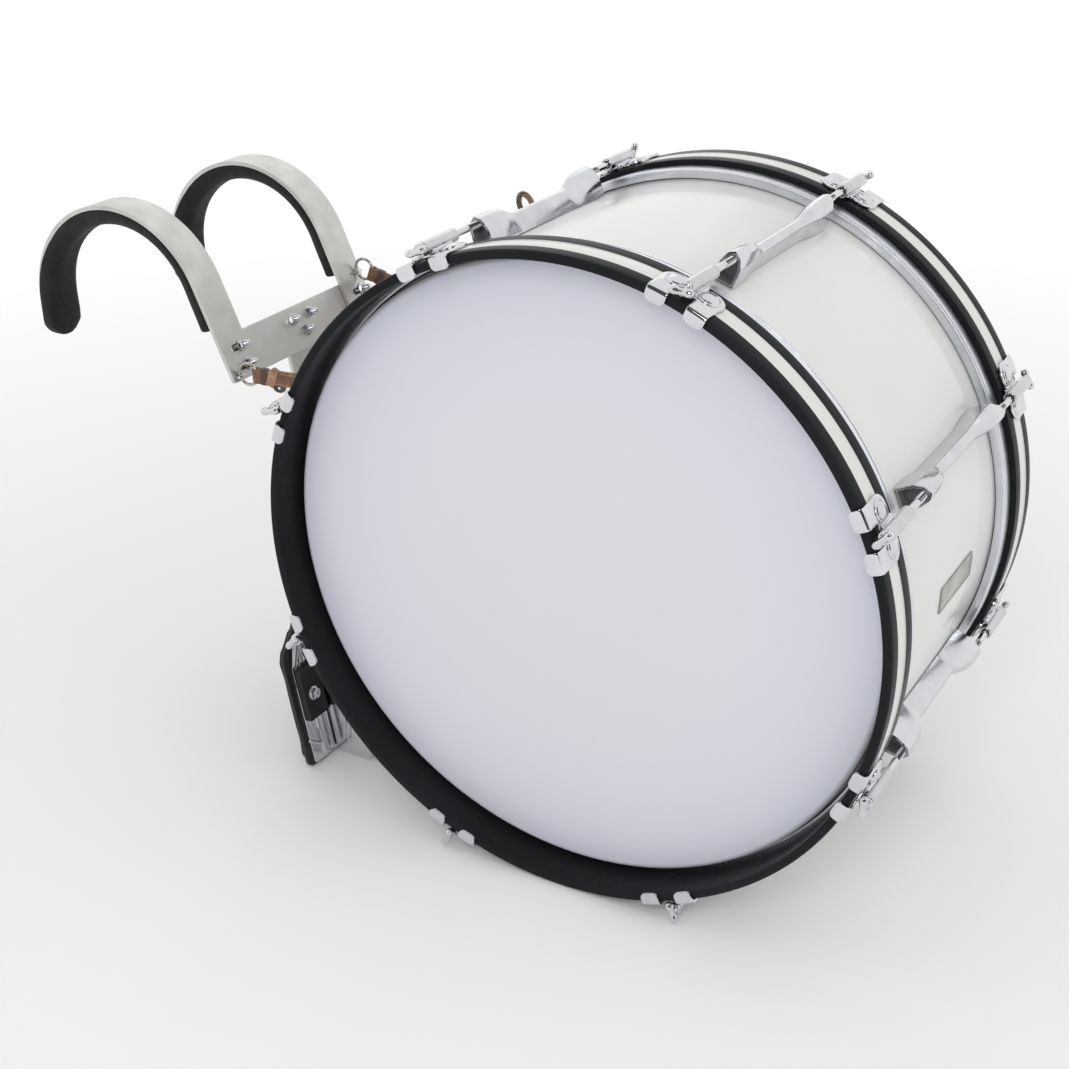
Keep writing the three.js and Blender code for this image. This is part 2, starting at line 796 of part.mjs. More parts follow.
function makeUpright() {
  // The upper leg lies behind the crossbar and the lower leg on the belly plate
  const bend = (lowerOffset, upperOffset) => {
    const [y0, z0] = bellyFront.at(0, uprightOnPlate + lowerOffset);
    const [y1, z1] = carrier.at(0, uprightOnBar + upperOffset);
    const [a, b] = bellyFront.up;
    const [c, d] = carrier.up;
    const along = ((y1 - y0) * d - (z1 - z0) * c) / (a * d - b * c);
    return [y0 + a * along, z0 + b * along];
  };
  const stock = barStock / 2;
  const top = crossbarAbove - uprightTopInset;
  const outline = [
    bellyFront.at(uprightFoot, uprightOnPlate + stock),
    bend(stock, stock),
    carrier.at(top, uprightOnBar + stock),
    carrier.at(top, uprightOnBar - stock),
    bend(-stock, -stock),
    bellyFront.at(uprightFoot, uprightOnPlate - stock),
  ];
  let upright = toSolid(slab(outline, -uprightWidth / 2, uprightWidth / 2));
  for (const [x, u] of clampBolts) {
    upright = upright.subtract(toSolid(facePin(
      carrier, x, u, boltDiameter / 2 + seatGap, uprightBack - cutOverrun, 0, boltSides,
    )));
  }
  return toGeometry(upright);
}

// The belly plate's outline, with its upper corners cut off
function bellyOutline(inset) {
  const half = bellyHalfWidth - inset;
  const top = bellyHeight - inset;
  const slope = bellyChamferHeight / bellyChamferWidth;
  const cut = inset * (Math.hypot(1, slope) - 1) / slope;
  return [
    [-half + bellyCorner, inset],
    [half - bellyCorner, inset],
    [half, inset + bellyCorner],
    [half, top + inset - bellyChamferHeight - cut],
    [bellyHalfWidth - bellyChamferWidth - cut, top],
    [-bellyHalfWidth + bellyChamferWidth + cut, top],
    [-half, top + inset - bellyChamferHeight - cut],
    [-half, inset + bellyCorner],
  ];
}

// A foam pad flat against the plate, with its edges rounded off towards the player
function makeBellyFoam() {
  const rings = [
    [bellyFoamInset + bellyFoamRounding, 0],
    [bellyFoamInset + bellyFoamRounding / 3, bellyFoamRounding / 3],
    [bellyFoamInset, bellyFoamRounding],
    [bellyFoamInset, bellyFoamThickness],
  ].map(([inset, n]) => bellyOutline(inset).map(([x, u]) => [x, ...bellyBack.at(u, n)]).reverse());
  return skin(rings);
}

function makeBellyPlate() {
  return facePlate(bellyFront, bellyOutline(0), -bellyPlateThickness, 0);
}

// One chromed sheet on the belly plate with two flanges whose hooks hold the lower T-rods
function makeDrumBracket() {
  const half = bellyHalfWidth - bracketInset;
  const base = facePlate(bellyFront, roundedBox(
    -half, half, bracketFoot, bracketFoot + bracketHeight, cornerRadius,
  ), seatGap, seatGap + bracketSheet);
  let bracket = toSolid(base);

  const [rodY, rodZ] = hookRod;
  const notch = rodRadius + runningGap;
  const sheetMiddle = seatGap + bracketSheet / 2;
  const bottom = bellyFront.at(bracketFoot, sheetMiddle);
  const top = bellyFront.at(bracketFoot + bracketHeight, sheetMiddle);
  const frontY = bottom[0] + flangeDepth;
  const reach = notch + hookWall;
  const outline = [
    bottom,
    [frontY, bottom[1]],
    [rodY + reach, rodZ - reach],
    [rodY + reach, rodZ],
    [rodY + reach - cornerRadius, rodZ + hookLip],
    [rodY + notch, rodZ + hookLip],
    ...arc(rodY, rodZ, notch, 0, -180, hookArcSteps),
    [rodY - notch, rodZ + hookLip],
    [rodY - reach, rodZ + hookLip],
    top,
  ];
  const flangeX = lugEnd + flangeStandoff;
  for (const side of [-1, 1]) {
    const x0 = side > 0 ? flangeX : -flangeX - bracketSheet;
    bracket = bracket.add(toSolid(slab(outline, x0, x0 + bracketSheet)));
  }
  return toGeometry(bracket);
}

// Straps: a ring on the bar's staple, a leather band and a snap hook on a T-rod

function makeTie(side, ringX, ringRise) {
  const ringMiddle = ringOuterDiameter / 2 - ringWire / 2;
  const ringOffset = footFront + runningGap + ringOuterDiameter / 2;
  const centre = carrier.at(ringRise, ringOffset);
  const gap = [tieRod[0] - centre[0], tieRod[1] - centre[1]];
  const distance = Math.hypot(...gap);
  const along = [gap[0] / distance, gap[1] / distance];
  // s runs from the ring's middle to the rod and t across it
  return {
    at: (s, t) => [centre[0] + along[0] * s - along[1] * t, centre[1] + along[1] * s + along[0] * t],
    ringX,
    ringMiddle,
    snapX: (side * (lugEnd + clawBarrelStart)) / 2,
    snapBar: distance - snapLength,
    rod: distance,
    // Places a geometry drawn with s, x and minus t as its three directions
    matrix: new THREE.Matrix4().makeBasis(
      new THREE.Vector3(0, along[0], along[1]),
      new THREE.Vector3(1, 0, 0),
      new THREE.Vector3(0, along[1], -along[0]),
    ).setPosition(0, centre[0], centre[1]),
  };
}

function makeRing(tie) {
  const ring = new THREE.TorusGeometry(tie.ringMiddle, ringWire / 2, ringWireSides, ringSteps);
  const [y, z] = tie.at(0, 0);
  return ring.applyMatrix4(new THREE.Matrix4().makeBasis(
    new THREE.Vector3(0, 1, 0), new THREE.Vector3(0, 0, 1), new THREE.Vector3(1, 0, 0),
  )).translate(tie.ringX, y, z);
}

// A leather band folded round the ring at one end and round the snap hook's bar at the other
function makeStrap(tie) {
  const wire = ringWire / 2 + runningGap;
  const eye = wire + strapEyeWall;
  const lean = Math.asin(strapWidth / 2 / tie.ringMiddle);
  const sag = tie.ringMiddle * (1 - Math.cos(lean)) + (ringWire / 2) * (1 / Math.cos(lean) - 1);
  const from = [tie.ringMiddle, tie.ringX];
  const to = [tie.snapBar, tie.snapX];
  const length = Math.hypot(to[0] - from[0], to[1] - from[1]);
  const along = [(to[0] - from[0]) / length, (to[1] - from[1]) / length];
  const plate = (outline, depth) => {
    const shape = new THREE.Shape(outline.map(([a, b]) => new THREE.Vector2(a, b)));
    return new THREE.ExtrudeGeometry(shape, { depth, bevelEnabled: false })
      .translate(0, 0, -depth / 2);
  };
  const stadium = (radius, depth) => plate([
    ...arc(from[0], from[1], radius, -90, 90, strapArcSteps),
    ...arc(from[0] - sag, from[1], radius, 90, 270, strapArcSteps),
  ], depth);
  const disc = (radius, depth) => plate(circle(to[0], to[1], radius, 2 * strapArcSteps), depth);
  const onBand = (s, w) => [
    from[0] + along[0] * s - along[1] * w, from[1] + along[1] * s + along[0] * w,
  ];
  const blend = eye + strapEyeWall;
  const band = plate([
    [0, -eye], [blend, -strapLayer], [length - blend, -strapLayer], [length, -eye],
    [length, eye], [length - blend, strapLayer], [blend, strapLayer], [0, eye],
  ].map(([s, w]) => onBand(s, w)), strapWidth);
  const depth = strapWidth + 2 * cutOverrun;
  const strap = join(band, stadium(eye, strapWidth), disc(eye, strapWidth))
    .subtract(toSolid(stadium(wire, depth)))
    .subtract(toSolid(disc(wire, depth)));
  return toGeometry(strap).applyMatrix4(tie.matrix);
}

// Snap hook: a bar for the strap, a neck and an eye round the T-rod
function makeSnap(tie) {
  const barRadius = snapBarThickness / 2;
  const halfEye = strapWidth / 2 + runningGap;
  const eyeFrom = tie.snapBar + barRadius;
  const eyeTo = eyeFrom + snapEyeGap;
  const rodHole = rodRadius + runningGap;
  const hookOuter = rodHole + snapHookWall;
  const outerHalf = halfEye + snapEyeWall;
  const neck = snapNeckWidth / 2;
  const toYZ = (points) => points.map(([s, t]) => tie.at(s, t));
  const x0 = tie.snapX - snapStock / 2;
  const x1 = tie.snapX + snapStock / 2;
  const outline = [
    [tie.snapBar - barRadius, -outerHalf],
    [eyeTo, -outerHalf],
    [eyeTo + snapEyeWall, -neck],
    ...arc(tie.rod, 0, hookOuter, -150, 150, 2 * strapArcSteps),
    [eyeTo + snapEyeWall, neck],
    [eyeTo, outerHalf],
    [tie.snapBar - barRadius, outerHalf],
  ];
  const eye = rectangle(eyeFrom, eyeTo, -halfEye, halfEye);
  const rodEye = circle(tie.rod, 0, rodHole, 2 * strapArcSteps);
  const plate = toSolid(slab(toYZ(outline), x0, x1, [toYZ(eye), toYZ(rodEye)]));
  const thinBar = toYZ(rectangle(tie.snapBar - snapStock, eyeTo, -halfEye, halfEye));
  const above = toSolid(slab(thinBar, tie.snapX + barRadius, x1 + cutOverrun));
  const below = toSolid(slab(thinBar, x0 - cutOverrun, tie.snapX - barRadius));
  return toGeometry(plate.subtract(above).subtract(below));
}

// Assembly

place('shell', makeShell(), 'shell');
place('right_head', makeHead(1), 'film');
place('left_head', makeHead(-1), 'film');
place('right_hoop', makeHoop(1), 'hoop');
place('left_hoop', makeHoop(-1), 'hoop');
makeTuningHardware();

place('carrier_crossbar', makeCrossbar(), 'aluminium');
place('carrier_upright', makeUpright(), 'aluminium');
place('right_shoulder_bar', makeShoulderBar(rightBarX, rightRingX, rightRingRise), 'aluminium');
place('left_shoulder_bar', makeShoulderBar(leftBarX, leftRingX, leftRingRise), 'aluminium');
place('right_shoulder_pad', makeShoulderPad(rightBarX), 'foam');
place('left_shoulder_pad', makeShoulderPad(leftBarX), 'foam');
place('belly_plate', makeBellyPlate(), 'blackPaint');
place('belly_foam', makeBellyFoam(), 'foam');
place('drum_bracket', makeDrumBracket(), 'chrome');

const rightTie = makeTie(1, rightRingX, rightRingRise);
const leftTie = makeTie(-1, leftRingX, leftRingRise);
for (const [sideName, tie] of [['right', rightTie], ['left', leftTie]]) {
  place(`${sideName}_ring`, makeRing(tie), 'chrome');
  place(`${sideName}_strap`, makeStrap(tie), 'leather');
  place(`${sideName}_snap_hook`, makeSnap(tie), 'chrome');
}

// Stand the drum on the ground with the origin under the middle of its box
drum.updateMatrixWorld(true);
const box = new THREE.Box3().setFromObject(drum, true);
const middle = box.getCenter(new THREE.Vector3());
drum.position.set(-middle.x, -middle.y, -box.min.z);

export default drum;
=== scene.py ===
"""A marching bass drum on its shoulder carrier: the looks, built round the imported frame.

Every piece is modelled in millimetres from the middle of the drum, with X along the
drum's axis and Z up, and is put into the frame's metres when it is finished.
"""

import logging
import math
from collections.abc import Callable, Iterable, Sequence
from dataclasses import dataclass, field
from enum import Enum

import bmesh
import bpy
from bmesh.types import BMesh
from mathutils import Matrix, Vector

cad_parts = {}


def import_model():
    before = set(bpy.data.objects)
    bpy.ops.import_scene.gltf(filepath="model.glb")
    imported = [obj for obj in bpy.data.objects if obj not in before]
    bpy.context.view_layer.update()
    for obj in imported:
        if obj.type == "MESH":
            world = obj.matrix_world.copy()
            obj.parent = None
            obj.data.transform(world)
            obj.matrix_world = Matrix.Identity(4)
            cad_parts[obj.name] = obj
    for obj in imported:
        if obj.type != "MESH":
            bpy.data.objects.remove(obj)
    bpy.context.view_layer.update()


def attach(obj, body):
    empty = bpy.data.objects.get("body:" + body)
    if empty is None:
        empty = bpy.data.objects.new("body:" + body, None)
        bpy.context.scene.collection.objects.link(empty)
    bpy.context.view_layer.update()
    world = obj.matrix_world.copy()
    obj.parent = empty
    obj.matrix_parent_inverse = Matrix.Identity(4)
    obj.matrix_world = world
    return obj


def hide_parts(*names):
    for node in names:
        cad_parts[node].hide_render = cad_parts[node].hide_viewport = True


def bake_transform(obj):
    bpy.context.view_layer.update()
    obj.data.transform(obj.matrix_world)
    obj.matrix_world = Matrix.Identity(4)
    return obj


log = logging.getLogger("bass_drum")

Corner = tuple[float, ...]
Colour = tuple[float, float, float]
Socket = bpy.types.NodeSocket

MILLIMETRE = 0.001
DRUM_MIDDLE = Vector((0.0, 158.456, 293.3))
MERGE = 0.002
STATIONS = range(1, 9)
STATION_STEP = 45.0
FIRST_STATION = 22.5
ALONG_X, ALONG_Y, ALONG_Z = Vector((1, 0, 0)), Vector((0, 1, 0)), Vector((0, 0, 1))
DRUM_STEPS = 256
THREAD_DEPTH_SHARE = 0.42
CLOTH_FRAMES = 20
CLOTH_QUALITY = 5
SMOOTHINGS = 3


class Side(Enum):
    """One of the drum's two ends."""

    RIGHT = "right"
    LEFT = "left"

    @property
    def sign(self) -> int:
        """1 on the player's right, -1 on the left."""
        return 1 if self is Side.RIGHT else -1

    @property
    def turn(self) -> Matrix:
        """The half turn that takes a right-hand piece to this side."""
        return Matrix.Rotation(0.0 if self is Side.RIGHT else math.pi, 4, "Z")


class Body(Enum):
    """The frame's rigid bodies, apart from the sixteen T-rods."""

    DRUM = "drum_and_carrier"
    RIGHT_SHOULDER = "right_shoulder"
    LEFT_SHOULDER = "left_shoulder"


def shoulder_body(side: Side) -> Body:
    """The body of one shoulder bar."""
    return Body.RIGHT_SHOULDER if side is Side.RIGHT else Body.LEFT_SHOULDER


def station_angle(label: int) -> float:
    """The angle of a tuning station, in degrees from +Y towards +Z."""
    return FIRST_STATION + STATION_STEP * (label - 1)


def station_place(label: int, side: Side = Side.RIGHT) -> Matrix:
    """Where a piece drawn at the top of the drum goes.

    Args:
        label: The tuning station, 1 to 8.
        side: The end of the drum.

    Returns:
        The turn that takes the piece to its station.
    """
    return Matrix.Rotation(math.radians(station_angle(label) - 90), 4, "X") @ side.turn


# Shaping


def outlined(corners: Sequence[Corner], segments: int = 4) -> BMesh:
    """Draws a flat closed outline.

    Args:
        corners: Points (a, b), or (a, b, ease) where the corner is rounded.
        segments: Steps in each rounded corner.

    Returns:
        A mesh of one face in the a-b plane.
    """
    bm = bmesh.new()
    verts = [bm.verts.new((c[0], c[1], 0.0)) for c in corners]
    bm.faces.new(verts)
    for ease in sorted({c[2] for c in corners if len(c) > 2}):
        picked = [v for v, c in zip(verts, corners) if len(c) > 2 and c[2] == ease]
        bmesh.ops.bevel(bm, geom=picked, offset=ease, offset_type="OFFSET", segments=segments,
                        profile=0.5, affect="VERTICES", clamp_overlap=False, material=-1)
    bmesh.ops.remove_doubles(bm, verts=bm.verts, dist=MERGE)
    return bm


def panel(low: Corner, high: Corner, ease: float, top_ease: float | None = None) -> list[Corner]:
    """The outline of a rectangle with rounded corners.

    Args:
        low: Its lower left corner.
        high: Its upper right corner.
        ease: The rounding of its corners.
        top_ease: The rounding of its upper corners, where that differs.

    Returns:
        The outline.
    """
    top = ease if top_ease is None else top_ease
    return [(low[0], low[1], ease), (high[0], low[1], ease), (high[0], high[1], top),
            (low[0], high[1], top)]


def ringed(radius: float, count: int, a: float = 0.0, b: float = 0.0) -> list[Corner]:
    """A round outline with some points about the point (a, b)."""
    angles = [math.tau * i / count for i in range(count)]
    return [(a + radius * math.cos(angle), b + radius * math.sin(angle)) for angle in angles]


def axes(x: Sequence[float], y: Sequence[float], z: Sequence[float]) -> Matrix:
    """Takes a mesh's own X, Y and Z to three directions."""
    return Matrix((x, y, z)).transposed().to_4x4()


def laid(bm: BMesh, place: Matrix) -> BMesh:
    """Moves a whole mesh to its place."""
    bmesh.ops.transform(bm, matrix=place, verts=bm.verts)
    return bm


def turned(profile: Sequence[Corner], steps: int, segments: int = 3) -> BMesh:
    """Turns a closed profile right round the X axis, as on a lathe.

    Args:
        profile: Points (along X, radius), or (along X, radius, ease).
        steps: Steps round the axis.
        segments: Steps in each rounded corner.

    Returns:
        The turned solid.
    """
    bm = outlined(profile, segments)
    bmesh.ops.delete(bm, geom=bm.faces[:], context="FACES_ONLY")
    axial = [e for e in bm.edges if all(abs(v.co.y) < MERGE for v in e.verts)]
    bmesh.ops.delete(bm, geom=axial, context="EDGES")
    bmesh.ops.spin(bm, geom=bm.verts[:] + bm.edges[:], cent=(0, 0, 0), axis=(1, 0, 0),
                   dvec=(0, 0, 0), angle=math.tau, steps=steps, use_merge=True,
                   use_duplicate=False)
    return tidied(bm)


def outwards(bm: BMesh) -> BMesh:
    """Turns the faces of a closed mesh outwards."""
    bmesh.ops.recalc_face_normals(bm, faces=bm.faces)
    if bm.calc_volume(signed=True) < 0:
        bmesh.ops.reverse_faces(bm, faces=bm.faces)
    return bm


def tidied(bm: BMesh) -> BMesh:
    """Merges a closed mesh's doubles and turns its faces outwards."""
    bmesh.ops.remove_doubles(bm, verts=bm.verts, dist=MERGE)
    bmesh.ops.dissolve_degenerate(bm, dist=MERGE, edges=bm.edges)
    return outwards(bm)


def eased(bm: BMesh, edges: Sequence[bmesh.types.BMEdge], width: float,
          segments: int = 2) -> BMesh:
    """Rounds some edges of a mesh.

    Args:
        bm: The mesh.
        edges: The edges to round.
        width: How far the rounding reaches.
        segments: Steps in the rounding.

    Returns:
        The same mesh.
    """
    bmesh.ops.bevel(bm, geom=list(edges), offset=width, offset_type="OFFSET", segments=segments,
                    profile=0.5, affect="EDGES", clamp_overlap=True, material=-1)
    return bm


def sharp_edges(bm: BMesh, degrees: float = 40.0) -> list[bmesh.types.BMEdge]:
    """The edges whose two faces meet at more than some degrees."""
    limit = math.radians(degrees)
    return [e for e in bm.edges if len(e.link_faces) == 2 and e.calc_face_angle(0.0) > limit]


def plate(
    outline: Sequence[Corner],
    low: float,
    high: float,
    holes: Sequence[Sequence[Corner]] = (),
    edge: float = 0.5,
    rings: int = 2,
    segments: int = 4,
) -> BMesh:
    """Cuts a sheet to an outline, with holes and eased rims.

    Args:
        outline: The outline in the a-b plane.
        low: Height of the lower face.
        high: Height of the upper face.
        holes: Outlines of the holes.
        edge: Width of the rounding along every rim.
        rings: Steps in that rounding.
        segments: Steps in each rounded corner of the outlines.

    Returns:
        The sheet as a closed solid.
    """
    bm = outlined(outline, segments)
    if holes:
        for hole in holes:
            join(bm, outlined(hole, segments), raw=True)
        bmesh.ops.delete(bm, geom=bm.faces[:], context="FACES_ONLY")
        bmesh.ops.triangle_fill(bm, edges=bm.edges[:], use_beauty=True, use_dissolve=False)
    bmesh.ops.recalc_face_normals(bm, faces=bm.faces)
    bmesh.ops.solidify(bm, geom=bm.faces[:], thickness=high - low)
    floor = min(v.co.z for v in bm.verts)
    bmesh.ops.translate(bm, verts=bm.verts, vec=(0, 0, low - floor))
    tidied(bm)
    if edge > 0:
        rims = [e for e in sharp_edges(bm, 60) if abs(e.verts[0].co.z - e.verts[1].co.z) < MERGE]
        eased(bm, rims, edge, rings)
    return tidied(bm)


def block(size: Sequence[float], centre: Sequence[float], edge: float,
          taper: float = 1.0) -> BMesh:
    """A block with rounded edges, drawn in or let out towards its top.

    Args:
        size: Its size along X, Y and Z.
        centre: Its middle.
        edge: Width of the rounding.
        taper: How wide the top is against the foot.

    Returns:
        The block.
    """
    bm = bmesh.new()
    bmesh.ops.create_cube(bm, size=1.0)
    top = [v for v in bm.verts if v.co.z > 0]
    bmesh.ops.scale(bm, vec=(1.0, taper, 1.0), verts=top)
    bmesh.ops.scale(bm, vec=size, verts=bm.verts)
    bmesh.ops.translate(bm, vec=centre, verts=bm.verts)
    return tidied(eased(bm, bm.edges[:], edge))


def lofted(sections: Sequence[Sequence[Vector]]) -> BMesh:
    """Extrudes a capped ring from section to section, each with the same number of points."""
    bm = bmesh.new()
    ring = [bm.verts.new(point) for point in sections[0]]
    edges = [bm.edges.new(pair) for pair in zip(ring, ring[1:] + ring[:1])]
    bmesh.ops.contextual_create(bm, geom=edges)
    for section in sections[1:]:
        grown = bmesh.ops.extrude_edge_only(bm, edges=edges)["geom"]
        fresh = {item for item in grown if isinstance(item, bmesh.types.BMVert)}
        edges = [item for item in grown if isinstance(item, bmesh.types.BMEdge)
                 and fresh.issuperset(item.verts)]
        ring = [next(edge.other_vert(vert) for edge in vert.link_edges
                     if edge.other_vert(vert) in fresh) for vert in ring]
        for vert, point in zip(ring, section):
            vert.co = point
    bmesh.ops.contextual_create(bm, geom=edges)
    return tidied(bm)


def sliced(bm: BMesh, along: Vector, places: Iterable[float]) -> BMesh:
    """Cuts a mesh across at some places along a direction, so that it can bend there."""
    for place in places:
        bmesh.ops.bisect_plane(bm, geom=bm.verts[:] + bm.edges[:] + bm.faces[:], dist=0.0001,
                               plane_co=along * place, plane_no=along)
    return bm


def steps_between(start: float, end: float, step: float) -> list[float]:
    """Even places between two values, without the ends."""
    count = max(1, round((end - start) / step))
    return [start + (end - start) * i / count for i in range(1, count)]


def pressed(bm: BMesh, rule: Callable[[Vector], Vector]) -> BMesh:
    """Moves every point of a mesh by a rule, as a press or a bender does."""
    for vert in bm.verts:
        vert.co = rule(vert.co.copy())
    return bm


def join(
    target: BMesh,
    part: BMesh,
    place: Matrix | None = None,
    coat: int | None = None,
    raw: bool = False,
) -> BMesh:
    """Adds one mesh to another.

    Args:
        target: The mesh that grows.
        part: The mesh that is added and used up.
        place: Where it goes.
        coat: The material slot of all its faces, or None to keep theirs.
        raw: True where the part has no closed surface yet.

    Returns:
        The target.
    """
    if not raw:
        outwards(part)
    if coat is not None:
        for face in part.faces:
            face.material_index = coat
    if place is not None:
        laid(part, place)
        if place.to_3x3().determinant() < 0:
            bmesh.ops.reverse_faces(part, faces=part.faces)
    holder = bpy.data.meshes.new("holder")
    part.to_mesh(holder)
    part.free()
    target.from_mesh(holder)
    bpy.data.meshes.remove(holder)
    return target


def copy_of(bm: BMesh, place: Matrix) -> BMesh:
    """A copy of a mesh in another place."""
    return laid(bm.copy(), place)


def hand_over(
    bm: BMesh,
    name: str,
    body: str,
    coats: Sequence[bpy.types.Material],
    stands_for: Sequence[str] = (),
    crease: float = 32.0,
    weighted: bool = True,
) -> bpy.types.Object:
    """body: The body it rides on, or "" where it rides on no body.
        coats: Its materials, in the order of its faces' slots.
        stands_for: The CAD nodes that it replaces.
        crease: The angle past which an edge stays sharp, in degrees.
        weighted: Whether broad faces keep their shading flat.

    Returns:
        The finished object.
    """
    bmesh.ops.translate(bm, vec=DRUM_MIDDLE, verts=bm.verts)
    bmesh.ops.scale(bm, vec=(MILLIMETRE,) * 3, verts=bm.verts)
    mesh = bpy.data.meshes.new(name)
    bm.to_mesh(mesh)
    bm.free()
    for coat in coats:
        mesh.materials.append(coat)
    mesh.shade_smooth()
    mesh.set_sharp_from_angle(angle=math.radians(crease))
    thing = bpy.data.objects.new(name, mesh)
    bpy.context.scene.collection.objects.link(thing)
    if weighted:
        shading = thing.modifiers.new("flat_faces", "WEIGHTED_NORMAL")
        shading.keep_sharp = True
    if body:
        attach(thing, body)
    if stands_for:
        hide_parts(*stands_for)
    log.info("%s: %d faces on %s", name, len(mesh.polygons), body or "two bodies")
    return thing


@dataclass(frozen=True)
class LeaningFace:
    """A flat face that leans back from the drum: u runs up it and n stands off it."""

    y: float
    z: float
    lean: float

    @property
    def up(self) -> Vector:
        """The direction up the face."""
        angle = math.radians(self.lean)
        return Vector((0, -math.sin(angle), math.cos(angle)))

    @property
    def out(self) -> Vector:
        """The direction off the face, towards the drum."""
        angle = math.radians(self.lean)
        return Vector((0, math.cos(angle), math.sin(angle)))

    def at(self, x: float, u: float, n: float) -> Vector:
        """A point by its place across, up and off the face."""
        return Vector((x, self.y, self.z)) + self.up * u + self.out * n

    @property
    def place(self) -> Matrix:
        """Takes a mesh drawn as (x, u, n) to the face."""
        return Matrix.Translation((0, self.y, self.z)) @ axes(ALONG_X, self.up, self.out)

    def standing(self, x: float, u: float, n: float) -> Matrix:
        """Takes a piece turned about X so that it stands on the face with its foot there."""
        return Matrix.Translation(self.at(x, u, n)) @ axes(self.out, ALONG_X, -self.up)


@dataclass(frozen=True)
class Route:
    """A strip's middle line in the Y-Z plane: a straight leg, an arc and a straight tail."""

    start: Vector
    up: Vector
    out: Vector
    leg: float
    centre: Vector
    radius: float
    first: float
    last: float

    @property
    def sweep(self) -> float:
        """The length of the arc."""
        return self.radius * math.radians(abs(self.last - self.first))

    def at(self, along: float, off: float) -> tuple[float, float]:
        """A point beside the line.

        Args:
            along: The distance along the line.
            off: The distance off it, outwards.

        Returns:
            The point's Y and Z.
        """
        if along <= self.leg:
            point = self.start + self.up * along + self.out * off
            return point.y, point.z
        share = min(1.0, (along - self.leg) / self.sweep)
        angle = math.radians(self.first + (self.last - self.first) * share)
        normal = Vector((0, math.cos(angle), math.sin(angle)))
        ahead = Vector((0, -math.sin(angle), math.cos(angle)))
        rest = max(0.0, along - self.leg - self.sweep)
        point = self.centre + normal * (self.radius + off) + ahead * rest
        return point.y, point.z

    def bend(self, bm: BMesh, middle: float) -> BMesh:
        """Bends a blank drawn as (across, along, off) to the line.

        Args:
            bm: The blank.
            middle: The X of the strip's middle.

        Returns:
            The bent strip.
        """
        return outwards(pressed(bm, lambda p: Vector((middle + p.x, *self.at(p.y, p.z)))))


def remeshed(blank: BMesh, voxel: float) -> bpy.types.Object:
    """Gives a cover an even mesh for the cloth simulation.

    Args:
        blank: The flat cover, in millimetres, which is used up.
        voxel: The size of its mesh.

    Returns:
        The cover, in metres.
    """
    bmesh.ops.scale(blank, vec=(MILLIMETRE,) * 3, verts=blank.verts)
    mesh = bpy.data.meshes.new("cover")
    blank.to_mesh(mesh)
    blank.free()
    cover = bpy.data.objects.new("cover", mesh)
    bpy.context.scene.collection.objects.link(cover)
    remesh = cover.modifiers.new("voxels", "REMESH")
    remesh.mode, remesh.voxel_size = "VOXEL", voxel * MILLIMETRE
    graph = bpy.context.evaluated_depsgraph_get()
    skin = bpy.data.meshes.new_from_object(cover.evaluated_get(graph))
    cover.modifiers.clear()
    cover.data = skin
    return cover


def blown_up(cover: bpy.types.Object, glued: Sequence[int], pressure: float) -> list[Vector]:
    """Fills a cover by cloth simulation.

    Args:
        cover: The cover.
        glued: The points that stay where they are.
        pressure: How hard it is filled.

    Returns:
        Where its points end up.
    """
    cover.vertex_groups.new(name="glued").add(glued, 1.0, "REPLACE")
    cloth = cover.modifiers.new("filling", "CLOTH")
    cloth.settings.quality = CLOTH_QUALITY
    cloth.settings.use_pressure = True
    cloth.settings.uniform_pressure_force = pressure
    cloth.settings.effector_weights.gravity = 0.0
    cloth.settings.vertex_group_mass = "glued"
    scene = bpy.context.scene
    for frame in range(1, CLOTH_FRAMES + 1):
        scene.frame_set(frame)
    graph = bpy.context.evaluated_depsgraph_get()
    result = cover.evaluated_get(graph).to_mesh()
    moved = [v.co.copy() for v in result.vertices]
    cover.evaluated_get(graph).to_mesh_clear()
    scene.frame_set(1)
    cover.modifiers.clear()
    return moved


def swollen(
    blank: BMesh, voxel: float, pressure: float, reach: float, held: Callable[[Vector], bool]
) -> BMesh:
    """Fills a cover like a pad: remeshes it and lets cloth simulation push it out.

    Args:
        blank: The flat cover, in millimetres.
        voxel: The size of its mesh.
        pressure: How hard it is filled.
        reach: How far a point may move.
        held: Says which points are glued down.

    Returns:
        The filled cover, smoothed and subdivided once.
    """
    cover = remeshed(blank, voxel)
    before = [v.co.copy() for v in cover.data.vertices]
    moved = before
    glued = [i for i, point in enumerate(before) if held(point / MILLIMETRE)]
    moved = blown_up(cover, glued, pressure)
    bm = bmesh.new()
    bm.from_mesh(cover.data)
    bpy.data.objects.remove(cover)
    for vert, old, new in zip(bm.verts, before, moved):
        step = new - old
        if step.length > reach * MILLIMETRE:
            step *= reach * MILLIMETRE / step.length
        vert.co = old + step
    bmesh.ops.scale(bm, vec=(1 / MILLIMETRE,) * 3, verts=bm.verts)
    for _ in range(SMOOTHINGS):
        bmesh.ops.smooth_vert(bm, verts=bm.verts, factor=0.5, use_axis_x=True, use_axis_y=True,
                              use_axis_z=True)
    bmesh.ops.subdivide_edges(bm, edges=bm.edges[:], cuts=1, use_grid_fill=True, smooth=0.6)
    return bm


# Fasteners, each turned or cut about X with its foot at 0


def washer(outer: float, inner: float, thick: float) -> BMesh:
    """A flat washer."""
    return turned([(0, inner, 0.15), (0, outer, 0.25), (thick, outer, 0.25),
                   (thick, inner, 0.15)], 32)


